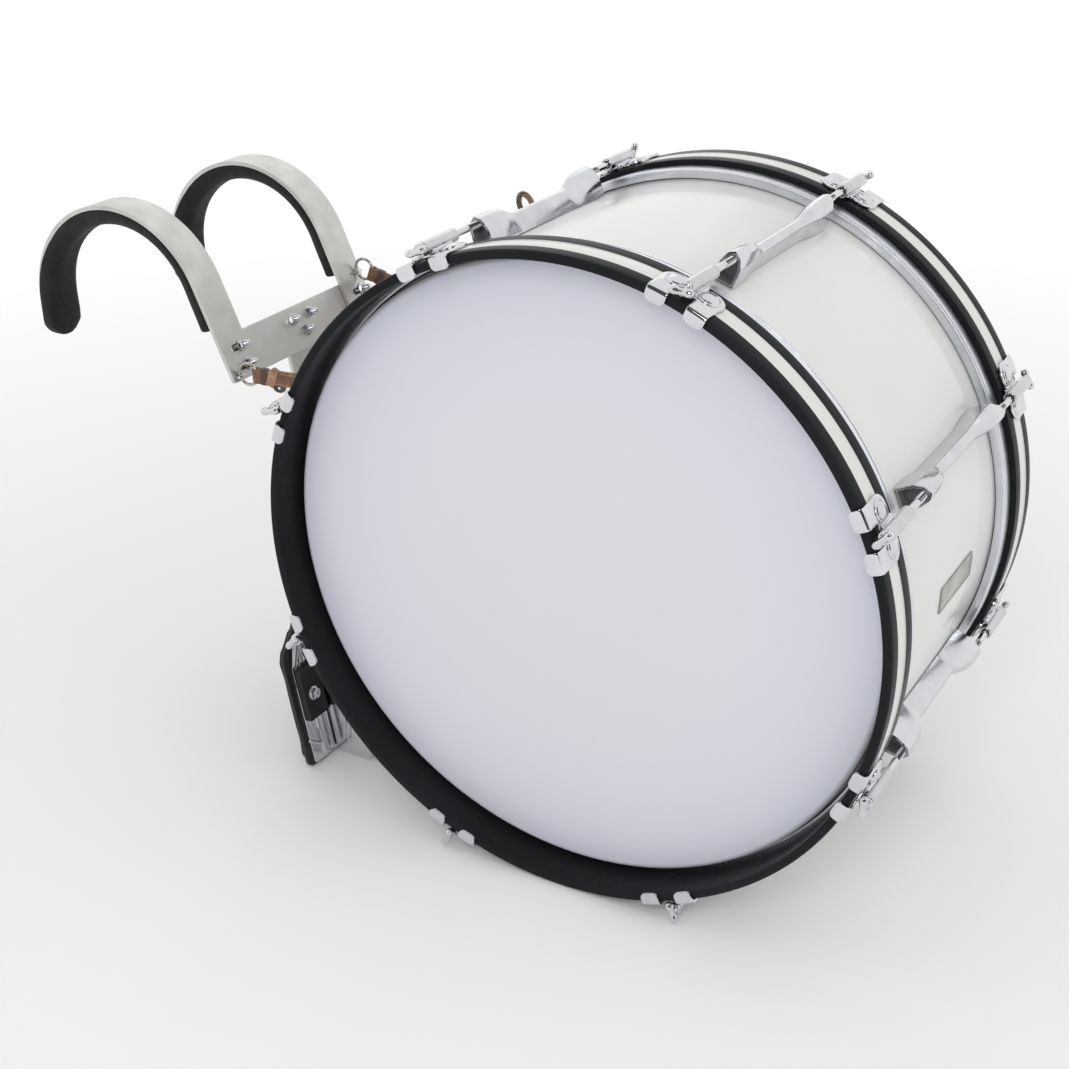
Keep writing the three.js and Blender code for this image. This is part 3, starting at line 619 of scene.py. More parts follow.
def hex_nut(corner_radius: float, height: float, chamfer: float = 0.55) -> BMesh:
    """A hexagon nut or bolt head with a chamfered top."""
    bm = plate(ringed(corner_radius, 6), 0.0, height, edge=0.0)
    top = [e for e in sharp_edges(bm) if all(v.co.z > height - MERGE for v in e.verts)]
    eased(bm, top, chamfer)
    return tidied(laid(bm, Matrix.Rotation(math.pi / 2, 4, "Y")))


def threaded(radius: float, start: float, end: float, pitch: float, steps: int = 20) -> BMesh:
    """A thread, as a row of turned ridges with a pointed end."""
    count = int((end - start) / pitch)
    depth = pitch * THREAD_DEPTH_SHARE
    profile = [(start, 0.0)]
    for i in range(count):
        profile += [(start + i * pitch, radius - depth), (start + (i + 0.5) * pitch, radius)]
    profile += [(start + count * pitch, radius - depth), (end + depth, 0.0)]
    return turned(profile, steps)


def domed_screw(radius: float, height: float) -> BMesh:
    """A screw's round head with a socket."""
    floor, socket = height * 0.35, radius * 0.36
    return turned([(0, 0), (0, radius, 0.3), (height * 0.45, radius, 0.5),
                   (height, radius * 0.55, 0.4), (height, socket), (floor, socket), (floor, 0)],
                  24)


# Finishes


def seen_directly(nodes: bpy.types.Nodes, links: bpy.types.NodeLinks) -> Socket:
    """1 for the rays that show a background: camera, glossy and transmission rays."""
    path = nodes.new("ShaderNodeLightPath")
    shown = path.outputs["Is Camera Ray"]
    for ray in ("Is Glossy Ray", "Is Transmission Ray"):
        either = nodes.new("ShaderNodeMath")
        either.operation = "MAXIMUM"
        links.new(shown, either.inputs[0])
        links.new(path.outputs[ray], either.inputs[1])
        shown = either.outputs[0]
    return shown


class Bench:
    """Lays out the nodes of one material."""

    def __init__(self, name: str) -> None:
        """Starts a material on Object coordinates."""
        self.material = bpy.data.materials.new(name)
        self.material.use_nodes = True
        self.nodes = self.material.node_tree.nodes
        self.shader = self.nodes["Principled BSDF"]
        self.surface = self.nodes.new("ShaderNodeTexCoord").outputs["Object"]
        self.relief: Socket | None = None

    def fix(self, **values: float | Colour) -> None:
        """Sets the shader's own sockets, named with _ for a space."""
        for name, value in values.items():
            socket = self.shader.inputs[name.replace("_", " ")]
            socket.default_value = (*value, 1.0) if isinstance(value, tuple) else value

    def wire(self, start: Socket, end: Socket) -> None:
        """Joins two sockets."""
        self.material.node_tree.links.new(start, end)

    def placed(self, scale: Sequence[float], turn: Sequence[float] = (0, 0, 0)) -> Socket:
        """Object coordinates that are stretched and turned."""
        node = self.nodes.new("ShaderNodeMapping")
        node.inputs["Scale"].default_value = scale
        node.inputs["Rotation"].default_value = [math.radians(a) for a in turn]
        self.wire(self.surface, node.inputs["Vector"])
        return node.outputs["Vector"]

    def noise(self, scale: float, detail: float = 3.0, where: Socket | None = None,
              twist: float = 0.0) -> Socket:
        """A cloud of noise from 0 to 1, with its scale per metre."""
        node = self.nodes.new("ShaderNodeTexNoise")
        node.inputs["Scale"].default_value = scale
        node.inputs["Detail"].default_value = detail
        node.inputs["Distortion"].default_value = twist
        self.wire(where or self.surface, node.inputs["Vector"])
        return node.outputs[0]

    def cells(self, scale: float, where: Socket | None = None) -> Socket:
        """The distance to the middle of the nearest cell."""
        node = self.nodes.new("ShaderNodeTexVoronoi")
        node.inputs["Scale"].default_value = scale
        self.wire(where or self.surface, node.inputs["Vector"])
        return node.outputs["Distance"]

    def pointiness_span(self, start: float = 0.52, end: float = 0.62) -> Socket:
        """0 to 1 between two values of how far an edge stands out; a flat face is at 0.5. Rising
        values pick edges for wear; falling values pick hollows for painted shade.
        """
        return self.span(self.nodes.new("ShaderNodeNewGeometry").outputs["Pointiness"],
                         0.0, 1.0, start, end)

    def span(self, share: Socket, low: float, high: float, start: float = 0.3,
             end: float = 0.7) -> Socket:
        """Maps start..end of a socket to low..high."""
        node = self.nodes.new("ShaderNodeMapRange")
        for name, value in (("From Min", start), ("From Max", end), ("To Min", low),
                            ("To Max", high)):
            node.inputs[name].default_value = value
        self.wire(share, node.inputs["Value"])
        return node.outputs["Result"]

    def sum(self, first: Socket, second: Socket, operation: str = "MULTIPLY") -> Socket:
        """Two varying sockets put together."""
        node = self.nodes.new("ShaderNodeMath")
        node.operation = operation
        self.wire(first, node.inputs[0])
        self.wire(second, node.inputs[1])
        return node.outputs[0]

    def mixed(self, share: Socket, first: Colour | Socket, second: Colour) -> Socket:
        """One colour turning into another."""
        node = self.nodes.new("ShaderNodeMix")
        node.data_type = "RGBA"
        self.wire(share, node.inputs[0])
        if isinstance(first, tuple):
            node.inputs[6].default_value = (*first, 1.0)
        else:
            self.wire(first, node.inputs[6])
        node.inputs[7].default_value = (*second, 1.0)
        return node.outputs[2]

    def raise_by(self, height: Socket, depth: float, strength: float = 1.0) -> None:
        """Adds relief of some depth, in millimetres."""
        node = self.nodes.new("ShaderNodeBump")
        node.inputs["Strength"].default_value = strength
        node.inputs["Distance"].default_value = depth * MILLIMETRE
        self.wire(height, node.inputs["Height"])
        if self.relief is not None:
            self.wire(self.relief, node.inputs["Normal"])
        self.relief = node.outputs["Normal"]

    def done(self, colour: Socket | None = None, roughness: Socket | None = None,
             ) -> bpy.types.Material:
        """Joins what varies to the shader and gives the material."""
        if colour is not None:
            self.wire(colour, self.shader.inputs["Base Color"])
        if roughness is not None:
            self.wire(roughness, self.shader.inputs["Roughness"])
        if self.relief is not None:
            self.wire(self.relief, self.shader.inputs["Normal"])
        return self.material


@dataclass(frozen=True)
class Lacquer:
    """Sprayed and polished gloss lacquer over wood."""

    name: str
    colour: Colour
    shade: Colour
    worn: Colour
    peel: float = 0.02
    roughness: tuple[float, float] = (0.12, 0.26)
    coat: float = 0.5
    shine: float = 0.5

    def make(self) -> bpy.types.Material:
        """The lacquer, with orange peel, rubbed patches, hairline scratches and worn edges."""
        bench = Bench(self.name)
        bench.fix(Coat_Weight=self.coat, Coat_Roughness=0.05, Specular_IOR_Level=self.shine)
        tone = bench.mixed(bench.span(bench.noise(9.0, 4.0), 0.0, 1.0), self.colour, self.shade)
        edge = bench.sum(bench.pointiness_span(), bench.span(bench.noise(60.0, 5.0), 0.0, 0.55))
        hairs = bench.span(bench.noise(40.0, 6.0, bench.placed((1.0, 26.0, 26.0), (8, 0, 0))),
                           0.0, 1.0, 0.62, 0.72)
        rubbed = bench.span(bench.noise(14.0, 5.0), *self.roughness)
        bench.raise_by(bench.noise(170.0, 2.0), self.peel)
        bench.raise_by(hairs, self.peel * 0.3)
        return bench.done(bench.mixed(edge, tone, self.worn),
                          bench.sum(rubbed, bench.span(hairs, 0.0, 0.06, 0.0, 1.0), "ADD"))


@dataclass(frozen=True)
class Plating:
    """Bright or satin metal, plated, cast, pressed or brushed."""

    name: str
    colour: Colour
    shade: Colour
    roughness: tuple[float, float]
    waviness: float = 0.02
    grain: tuple[float, float, float] | None = None
    grain_depth: float = 0.01
    # Colour of the painted shade laid in the hollows.
    painted_hollow_shade: Colour = (0.13, 0.13, 0.135)

    def make(self) -> bpy.types.Material:
        """The metal, with smudges, painted shade in its hollows, fine ripples of the polish and
        its brushing.
        """
        bench = Bench(self.name)
        bench.fix(Metallic=1.0)
        smudge = bench.noise(45.0, 5.0)
        tone = bench.mixed(bench.span(smudge, 0.0, 1.0, 0.35, 0.68), self.colour, self.shade)
        # Painted shade: the hollows turn towards a dark colour, more strongly where the smudge
        # noise is high.
        tone = bench.mixed(bench.sum(bench.pointiness_span(0.485, 0.40), bench.span(smudge, 0.6, 1.0)),
                           tone, self.painted_hollow_shade)
        speck = bench.span(bench.noise(700.0, 2.0), 0.0, 0.05, 0.66, 0.74)
        rough = bench.sum(bench.span(smudge, *self.roughness), speck, "ADD")
        bench.raise_by(bench.noise(130.0, 3.0), self.waviness)
        if self.grain is not None:
            lines = bench.noise(60.0, 4.0, bench.placed(self.grain))
            bench.raise_by(lines, self.grain_depth)
            rough = bench.sum(rough, bench.span(lines, -0.05, 0.08), "ADD")
        return bench.done(tone, rough)


@dataclass(frozen=True)
class CoatedFilm:
    """The head's coated plastic film, cooler and darker out by its rim."""

    name: str
    colour: Colour
    rim: Colour
    reach: float

    def make(self) -> bpy.types.Material:
        """The film, with sprayed speckle, faint clouds and hand marks."""
        bench = Bench(self.name)
        bench.fix(Coat_Weight=0.08, Coat_Roughness=0.3, Subsurface_Weight=0.0)
        flat = bench.nodes.new("ShaderNodeMapping")
        flat.inputs["Location"].default_value = (0, -DRUM_MIDDLE.y * MILLIMETRE,
                                                 -DRUM_MIDDLE.z * MILLIMETRE)
        bench.wire(bench.surface, flat.inputs["Vector"])
        flatten = bench.nodes.new("ShaderNodeVectorMath")
        flatten.operation = "MULTIPLY"
        flatten.inputs[1].default_value = (0, 1, 1)
        bench.wire(flat.outputs["Vector"], flatten.inputs[0])
        length = bench.nodes.new("ShaderNodeVectorMath")
        length.operation = "LENGTH"
        bench.wire(flatten.outputs[0], length.inputs[0])
        reach = self.reach * MILLIMETRE
        outer = bench.span(length.outputs["Value"], 0.0, 1.0, reach * 0.55, reach)
        cloud = bench.span(bench.noise(5.0, 4.0), 0.75, 1.0)
        tone = bench.mixed(bench.sum(outer, cloud), self.colour, self.rim)
        bench.raise_by(bench.noise(1100.0, 3.0), 0.012)
        bench.raise_by(bench.noise(24.0, 2.0), 0.05)
        return bench.done(tone, bench.span(bench.noise(11.0, 6.0), 0.36, 0.5))


@dataclass(frozen=True)
class Foam:
    """Black closed-cell foam with a skin."""

    name: str
    colour: Colour
    dust: Colour
    cell: float = 0.12

    def make(self) -> bpy.types.Material:
        """The foam, with its cells, soft dents and a little dust in patches."""
        bench = Bench(self.name)
        bench.fix(Sheen_Weight=0.08, Sheen_Roughness=0.5, Specular_IOR_Level=0.3)
        cells = bench.cells(900.0)
        dust = bench.span(bench.noise(38.0, 6.0), 0.0, 0.7, 0.5, 0.8)
        bench.raise_by(cells, self.cell)
        bench.raise_by(bench.noise(60.0, 3.0), 0.35)
        return bench.done(bench.mixed(dust, self.colour, self.dust),
                          bench.span(bench.noise(120.0, 3.0), 0.72, 0.9))


@dataclass(frozen=True)
class Moulded:
    """Plastic or rubber from a mould, with a fine textured face."""

    name: str
    colour: Colour
    scuff: Colour
    roughness: tuple[float, float]
    texture: float = 0.05

    def make(self) -> bpy.types.Material:
        """The plastic, with mould grain and scuffed edges."""
        bench = Bench(self.name)
        bench.fix(Specular_IOR_Level=0.45)
        edge = bench.sum(bench.pointiness_span(), bench.span(bench.noise(90.0, 5.0), 0.0, 0.8))
        bench.raise_by(bench.cells(650.0), self.texture)
        bench.raise_by(bench.noise(25.0, 3.0), 0.15)
        return bench.done(bench.mixed(edge, self.colour, self.scuff),
                          bench.span(bench.noise(35.0, 6.0), *self.roughness))


@dataclass(frozen=True)
class Hide:
    """Harness leather, darker in its creases and paler on its rubbed edges."""

    name: str
    colour: Colour
    dark: Colour
    pale: Colour

    def make(self) -> bpy.types.Material:
        """The leather, with pores, creases and rubbed high spots."""
        bench = Bench(self.name)
        bench.fix(Sheen_Weight=0.1, Coat_Weight=0.12, Coat_Roughness=0.35)
        pores = bench.cells(750.0)
        crease = bench.noise(110.0, 7.0, twist=1.4)
        tone = bench.mixed(bench.span(crease, 0.0, 1.0, 0.38, 0.66), self.dark, self.colour)
        rubbed = bench.sum(bench.pointiness_span(0.5, 0.6), bench.span(crease, 0.2, 0.9))
        bench.raise_by(pores, 0.12)
        bench.raise_by(crease, 0.3)
        return bench.done(bench.mixed(rubbed, tone, self.pale),
                          bench.span(bench.noise(200.0, 4.0), 0.42, 0.68))


@dataclass(frozen=True)
class Timber:
    """The shell's bare inner ply."""

    name: str
    colour: Colour
    late: Colour

    def make(self) -> bpy.types.Material:
        """The ply, with grain that runs round the shell."""
        bench = Bench(self.name)
        grain = bench.noise(30.0, 8.0, bench.placed((9.0, 1.0, 1.0)), 0.6)
        bench.raise_by(grain, 0.06)
        return bench.done(bench.mixed(bench.span(grain, 0.0, 1.0), self.colour, self.late),
                          bench.span(bench.noise(50.0, 4.0), 0.5, 0.7))


@dataclass(frozen=True)
class PaleFloor:
    """A pale floor that keeps the shadow and turns white away from the drum."""

    name: str
    colour: Colour = (0.94, 0.94, 0.94)
    near: float = 0.7
    far: float = 1.9

    def make(self) -> bpy.types.Material:
        """The floor, white by Light Path where it is far from the drum."""
        bench = Bench(self.name)
        length = bench.nodes.new("ShaderNodeVectorMath")
        length.operation = "LENGTH"
        bench.wire(bench.surface, length.inputs[0])
        away = bench.span(length.outputs["Value"], 0.0, 1.0, self.near, self.far)
        seen = seen_directly(bench.nodes, bench.material.node_tree.links)
        white = bench.nodes.new("ShaderNodeEmission")
        mix = bench.nodes.new("ShaderNodeMixShader")
        bench.wire(bench.sum(away, seen), mix.inputs[0])
        bench.wire(bench.shader.outputs[0], mix.inputs[1])
        bench.wire(white.outputs[0], mix.inputs[2])
        bench.wire(mix.outputs[0], bench.nodes["Material Output"].inputs["Surface"])
        bench.fix(Base_Color=self.colour, Roughness=0.85)
        return bench.material


class Palette:
    """Every material of the drum, each mixed once."""

    def __init__(self) -> None:
        """Mixes all the finishes."""
        self.shell = Lacquer("white_lacquer", (0.78, 0.78, 0.76), (0.74, 0.745, 0.73),
                             (0.68, 0.67, 0.64), peel=0.012, roughness=(0.12, 0.24),
                             coat=0.25, shine=0.25).make()
        self.ply = Timber("inner_ply", (0.52, 0.36, 0.2), (0.36, 0.22, 0.11)).make()
        self.hoop = Lacquer("black_lacquer", (0.012, 0.013, 0.014), (0.018, 0.019, 0.021),
                            (0.07, 0.072, 0.075), peel=0.012, roughness=(0.22, 0.36),
                            coat=0.0, shine=0.05).make()
        self.inlay = Lacquer("white_inlay", (0.76, 0.755, 0.73), (0.71, 0.70, 0.67),
                             (0.66, 0.65, 0.6), peel=0.01, coat=0.15, shine=0.3).make()
        self.film = CoatedFilm("coated_film", (0.71, 0.695, 0.745), (0.66, 0.675, 0.78),
                               279).make()
        self.ivory = Moulded("film_collar", (0.72, 0.72, 0.72), (0.80, 0.80, 0.76),
                             (0.3, 0.42), 0.01).make()
        self.flesh = Plating("flesh_hoop_alloy", (0.80, 0.81, 0.84), (0.70, 0.72, 0.78),
                             (0.28, 0.4), grain=(30, 1, 1)).make()
        self.chrome = Plating("chrome", (0.70, 0.71, 0.73), (0.62, 0.63, 0.65),
                              (0.05, 0.13)).make()
        self.cast = Plating("cast_chrome", (0.68, 0.69, 0.71), (0.60, 0.61, 0.63),
                            (0.08, 0.18), waviness=0.05).make()
        self.barrel = Plating("barrel_chrome", (0.64, 0.645, 0.66), (0.56, 0.565, 0.58),
                              (0.12, 0.2)).make()
        self.bar = Plating("satin_bar", (0.64, 0.633, 0.612), (0.585, 0.578, 0.56), (0.36, 0.48),
                           waviness=0.03, grain=(14, 1, 1), grain_depth=0.02).make()
        # The zinc's painted shade in its hollows is a mid grey.
        self.zinc = Plating("bright_zinc", (0.70, 0.71, 0.73), (0.52, 0.53, 0.55),
                            (0.1, 0.2), painted_hollow_shade=(0.3, 0.3, 0.31)).make()
        self.nickel = Plating("nickel", (0.58, 0.55, 0.49), (0.46, 0.43, 0.37),
                              (0.12, 0.24)).make()
        self.bronzed = Plating("dark_buckle", (0.16, 0.14, 0.12), (0.09, 0.08, 0.07),
                               (0.25, 0.4)).make()
        self.pocket = Moulded("lug_pocket", (0.20, 0.20, 0.21), (0.42, 0.42, 0.43),
                              (0.24, 0.4), 0.05).make()
        self.badge = Plating("badge_metal", (0.5, 0.5, 0.46), (0.38, 0.38, 0.35),
                             (0.24, 0.36), grain=(12, 1, 1)).make()
        self.foam = Foam("pad_foam", (0.011, 0.011, 0.013), (0.026, 0.026, 0.029)).make()
        self.plate = Moulded("black_plate", (0.016, 0.016, 0.018), (0.06, 0.06, 0.062),
                             (0.38, 0.55)).make()
        self.rubber = Moulded("black_rubber", (0.012, 0.012, 0.013), (0.05, 0.05, 0.05),
                              (0.5, 0.7), 0.08).make()
        self.hide = Hide("brown_leather", (0.20, 0.085, 0.035), (0.085, 0.032, 0.014),
                         (0.33, 0.17, 0.085)).make()
        self.tan = Hide("tan_leather", (0.42, 0.24, 0.12), (0.22, 0.11, 0.05),
                        (0.55, 0.36, 0.21)).make()
        self.dark_hide = Hide("dark_leather", (0.075, 0.035, 0.02), (0.03, 0.014, 0.009),
                              (0.16, 0.085, 0.05)).make()
        self.thread = Hide("waxed_thread", (0.38, 0.28, 0.16), (0.2, 0.13, 0.07),
                           (0.5, 0.4, 0.26)).make()
        self.floor = PaleFloor("pale_floor").make()


# The drum


@dataclass
class Shell:
    """The white wooden tube with its vent and its bare badge plate."""

    radius: float = 279.4
    half_depth: float = 152.4
    wall: float = 7.5
    rim: float = 1.5
    bearing_edge: float = 4.5
    lacquered_rim: float = 2.5
    vent: float = 12.0
    drill_overrun: float = 4.5
    grommet: float = 11.5
    badge_length: float = 84.0
    badge_height: float = 24.5
    badge_corner: float = 2.5
    badge_border: tuple[float, float] = (0.5, 2.2)
    badge_pin_inset: float = 5.0
    badge_middle: tuple[float, float] = (-15.4, -2.0)

    def build(self, coats: Palette) -> None:
        """Makes the shell, its grommet and its badge."""
        self.tube(coats)
        self.vent_grommet(coats)
        self.badge(coats)

    def tube(self, coats: Palette) -> None:
        """The shell itself, lacquered outside and bare inside, with its vent drilled."""
        end, outer, inner = self.half_depth, self.radius, self.radius - self.wall
        rim, bearing = self.rim, self.bearing_edge
        bm = turned([(-end + rim, outer, 0.6), (-end, outer - rim, 0.4),
                     (-end + bearing, inner, 0.6), (end - bearing, inner, 0.6),
                     (end, outer - rim, 0.4), (end - rim, outer, 0.6)], DRUM_STEPS)
        for face in bm.faces:
            spot = face.calc_center_median()
            bare = math.hypot(spot.y, spot.z) < outer - self.lacquered_rim
            face.material_index = int(bare)
        reach, radius = self.wall + self.drill_overrun, self.vent / 2
        drill = turned([(-reach, 0), (-reach, radius), (reach, radius), (reach, 0)], 48)
        laid(drill, Matrix.Translation((0, -outer, 0)) @ Matrix.Rotation(math.pi / 2, 4, "Z"))
        shell = hand_over(bm, "shell", Body.DRUM.value, [coats.shell, coats.ply],
                          ["shell"], weighted=False)
        self.bore(shell, drill)

    @staticmethod
    def bore(shell: bpy.types.Object, drill: BMesh) -> None:
        """Cuts the drill's shape out of the shell."""
        bmesh.ops.translate(drill, vec=DRUM_MIDDLE, verts=drill.verts)
        bmesh.ops.scale(drill, vec=(MILLIMETRE,) * 3, verts=drill.verts)
        mesh = bpy.data.meshes.new("drill")
        drill.to_mesh(mesh)
        drill.free()
        bit = bpy.data.objects.new("drill", mesh)
        bpy.context.scene.collection.objects.link(bit)
        cut = shell.modifiers.new("vent", "BOOLEAN")
        cut.operation, cut.solver, cut.object = "DIFFERENCE", "EXACT", bit
        graph = bpy.context.evaluated_depsgraph_get()
        bored = bpy.data.meshes.new_from_object(shell.evaluated_get(graph))
        shell.modifiers.clear()
        old, shell.data = shell.data, bored
        bpy.data.meshes.remove(old)
        bpy.data.objects.remove(bit)
        bored.name = "shell"

    def vent_grommet(self, coats: Palette) -> None:
        """The turned eyelet in the vent."""
        bore = self.vent / 2
        bm = turned([(-self.wall - 1, bore - 0.9), (-self.wall - 1, bore - 0.1), (0.1, bore - 0.1),
                     (0.1, self.grommet, 0.3), (1.3, self.grommet - 1.2, 0.6),
                     (1.7, bore + 1.0, 0.8), (0.6, bore - 0.9, 0.6)], 48)
        laid(bm, Matrix.Translation((0, -self.radius, 0)) @ Matrix.Rotation(-math.pi / 2, 4, "Z"))
        hand_over(bm, "vent_grommet", Body.DRUM.value, [coats.chrome])

    def badge(self, coats: Palette) -> None:
        """A bare metal plate with a raised border, bent to the shell and pinned at both ends."""
        length, height = self.badge_length / 2, self.badge_height / 2
        bm = plate(panel((-length, -height), (length, height), self.badge_corner), 0.05, 1.0,
                   edge=0.3)
        outer, inner = (panel((inset - length, inset - height), (length - inset, height - inset),
                              ease) for inset, ease in zip(self.badge_border, (2, 1)))
        join(bm, plate(outer, 0.9, 1.4, [inner], edge=0.15))
        for sign in (-1, 1):
            pin = turned([(0.8, 0), (0.8, 1.6, 0.2), (1.5, 1.3, 0.4), (1.9, 0)], 16)
            spot = Matrix.Translation((sign * (length - self.badge_pin_inset), 0, 0))
            join(bm, pin, spot @ Matrix.Rotation(-math.pi / 2, 4, "Y"))
        sliced(bm, ALONG_Y, steps_between(-height, height, 2.5))
        x0, angle = self.badge_middle
        base = math.radians(angle)

        def wrap(point: Vector) -> Vector:
            """Lays a point on the shell."""
            theta = base + point.y / self.radius
            radius = self.radius + point.z
            return Vector((x0 + point.x, radius * math.cos(theta), radius * math.sin(theta)))

        hand_over(tidied(pressed(bm, wrap)), "badge_plate", Body.DRUM.value, [coats.badge])


@dataclass
class Heads:
    """The two coated films, each in its flesh hoop."""

    film_plane: float = 152.7
    film: float = 0.5
    skirt: float = 280.2
    skirt_end: float = 138.6
    ring_start: float = 120.0
    ring_outer: float = 288.2
    crown: float = 5.0
    skirt_cut: float = 4.0

    def build(self, coats: Palette) -> None:
        """Makes both heads."""
        for side in Side:
            self.skin(side, coats)
            self.flesh_hoop(side, coats)

    def skin(self, side: Side, coats: Palette) -> None:
        """The film: a flat playing face, a crowned collar and a skirt into the hoop."""
        low, high = self.film_plane, self.film_plane + self.film
        inner, outer = self.skirt, self.skirt + self.film
        crown, end = self.crown, self.skirt_end - self.skirt_cut
        bm = turned([(low, 0), (low, inner, crown), (end, inner), (end, outer),
                     (high, outer, crown + self.film), (high, 0)], DRUM_STEPS, 6)
        for face in bm.faces:
            spot = face.calc_center_median()
            face.material_index = int(math.hypot(spot.y, spot.z) > inner - crown * 0.5)
        laid(bm, side.turn)
        hand_over(bm, f"{side.value}_head", Body.DRUM.value, [coats.film, coats.ivory],
                  [f"{side.value}_head"], crease=50)

    def flesh_hoop(self, side: Side, coats: Palette) -> None:
        """The rolled aluminium channel that the film is crimped into."""
        start, end, outer = self.ring_start, self.skirt_end, self.ring_outer
        wall = self.skirt + self.film
        bm = turned([(start, self.skirt, 0.8), (start, outer, 1.2), (start + 3.2, outer, 0.3),
                     (start + 3.6, outer - 0.7, 0.2), (start + 4.4, outer - 0.7, 0.2),
                     (start + 4.8, outer, 0.3), (end, outer, 1.6), (end, wall + 2.4, 0.6),
                     (end - 2.6, wall + 1.6, 0.6), (end - 2.6, wall, 0.1), (end - 8, self.skirt)],
                    DRUM_STEPS)
        laid(bm, side.turn)
        hand_over(bm, f"{side.value}_flesh_hoop", Body.DRUM.value, [coats.flesh],
                  weighted=False)


@dataclass
class CounterHoops:
    """The black hoops with a white inlay between two black bands."""

    inner: float = 285.5
    outer: float = 293.3
    back: float = 138.9
    face: float = 184.2
    rounding: float = 2.6
    inlay: tuple[float, float] = (152.2, 170.3)
    groove: float = 0.25

    def build(self, coats: Palette) -> None:
        """Makes both hoops."""
        start, end = self.inlay
        low, outer, white_outer = self.outer - self.groove, self.outer, self.outer - 0.06
        for side in Side:
            bm = turned([(self.back, self.inner, 0.8), (self.back, outer, 0.8),
                         (start - 0.3, outer, 0.15), (start, low), (start + 0.35, white_outer),
                         (end - 0.35, white_outer), (end, low), (end + 0.3, outer, 0.15),
                         (self.face, outer, self.rounding), (self.face, self.inner, 1.4)],
                        DRUM_STEPS, 4)
            for face in bm.faces:
                spot = face.calc_center_median()
                white = start < spot.x < end and math.hypot(spot.y, spot.z) > low - 0.2
                face.material_index = int(white)
            laid(bm, side.turn)
            hand_over(bm, f"{side.value}_hoop", Body.DRUM.value, [coats.hoop, coats.inlay],
                      [f"{side.value}_hoop"], weighted=False)


@dataclass
class SlingRing:
    """A leather-lined ring that stands on the shell beside the neck of a lug."""

    x: float = -6.0
    angle: float = 115.5
    radius: float = 299.0
    ring: float = 11.2
    wire: float = 1.6
    lining: float = 2.4

    def build(self, coats: Palette) -> None:
        """Makes the ring, its lining and its leather tab."""
        theta = math.radians(self.angle)
        out = Vector((0, math.cos(theta), math.sin(theta)))
        round_it = Vector((0, -math.sin(theta), math.cos(theta)))
        stand = Matrix.Translation(Vector((self.x, 0, 0)) + out * self.radius)
        place = stand @ axes(round_it, ALONG_X, -out)
        bm = turned(ringed(self.wire, 12, 0.0, self.ring), 48)
        half, inner, outer = self.lining, self.ring - self.wire - 1.2, self.ring - self.wire - 0.1
        lining = turned([(-half, inner, 0.4), (-half, outer, 0.3), (half, outer, 0.3),
                         (half, inner, 0.4)], 48)
        join(bm, lining, coat=1)
        laid(bm, place)
        hand_over(tidied(bm), "sling_ring", Body.DRUM.value, [coats.bronzed, coats.tan])
        lug_side = self.ring + self.wire + 0.6
        tab = plate([(-6, -5, 2), (6, -5, 2), (7, 26, 3), (0, 34, 3), (-7, 26, 3)], -1.1, 1.1,
                    edge=0.5)
        place = place @ Matrix.Translation((0, 0, lug_side)) @ Matrix.Rotation(0.12, 4, "X")
        laid(tab, place)
        hand_over(tidied(tab), "sling_tab", Body.DRUM.value, [coats.hide])


# Tuning hardware


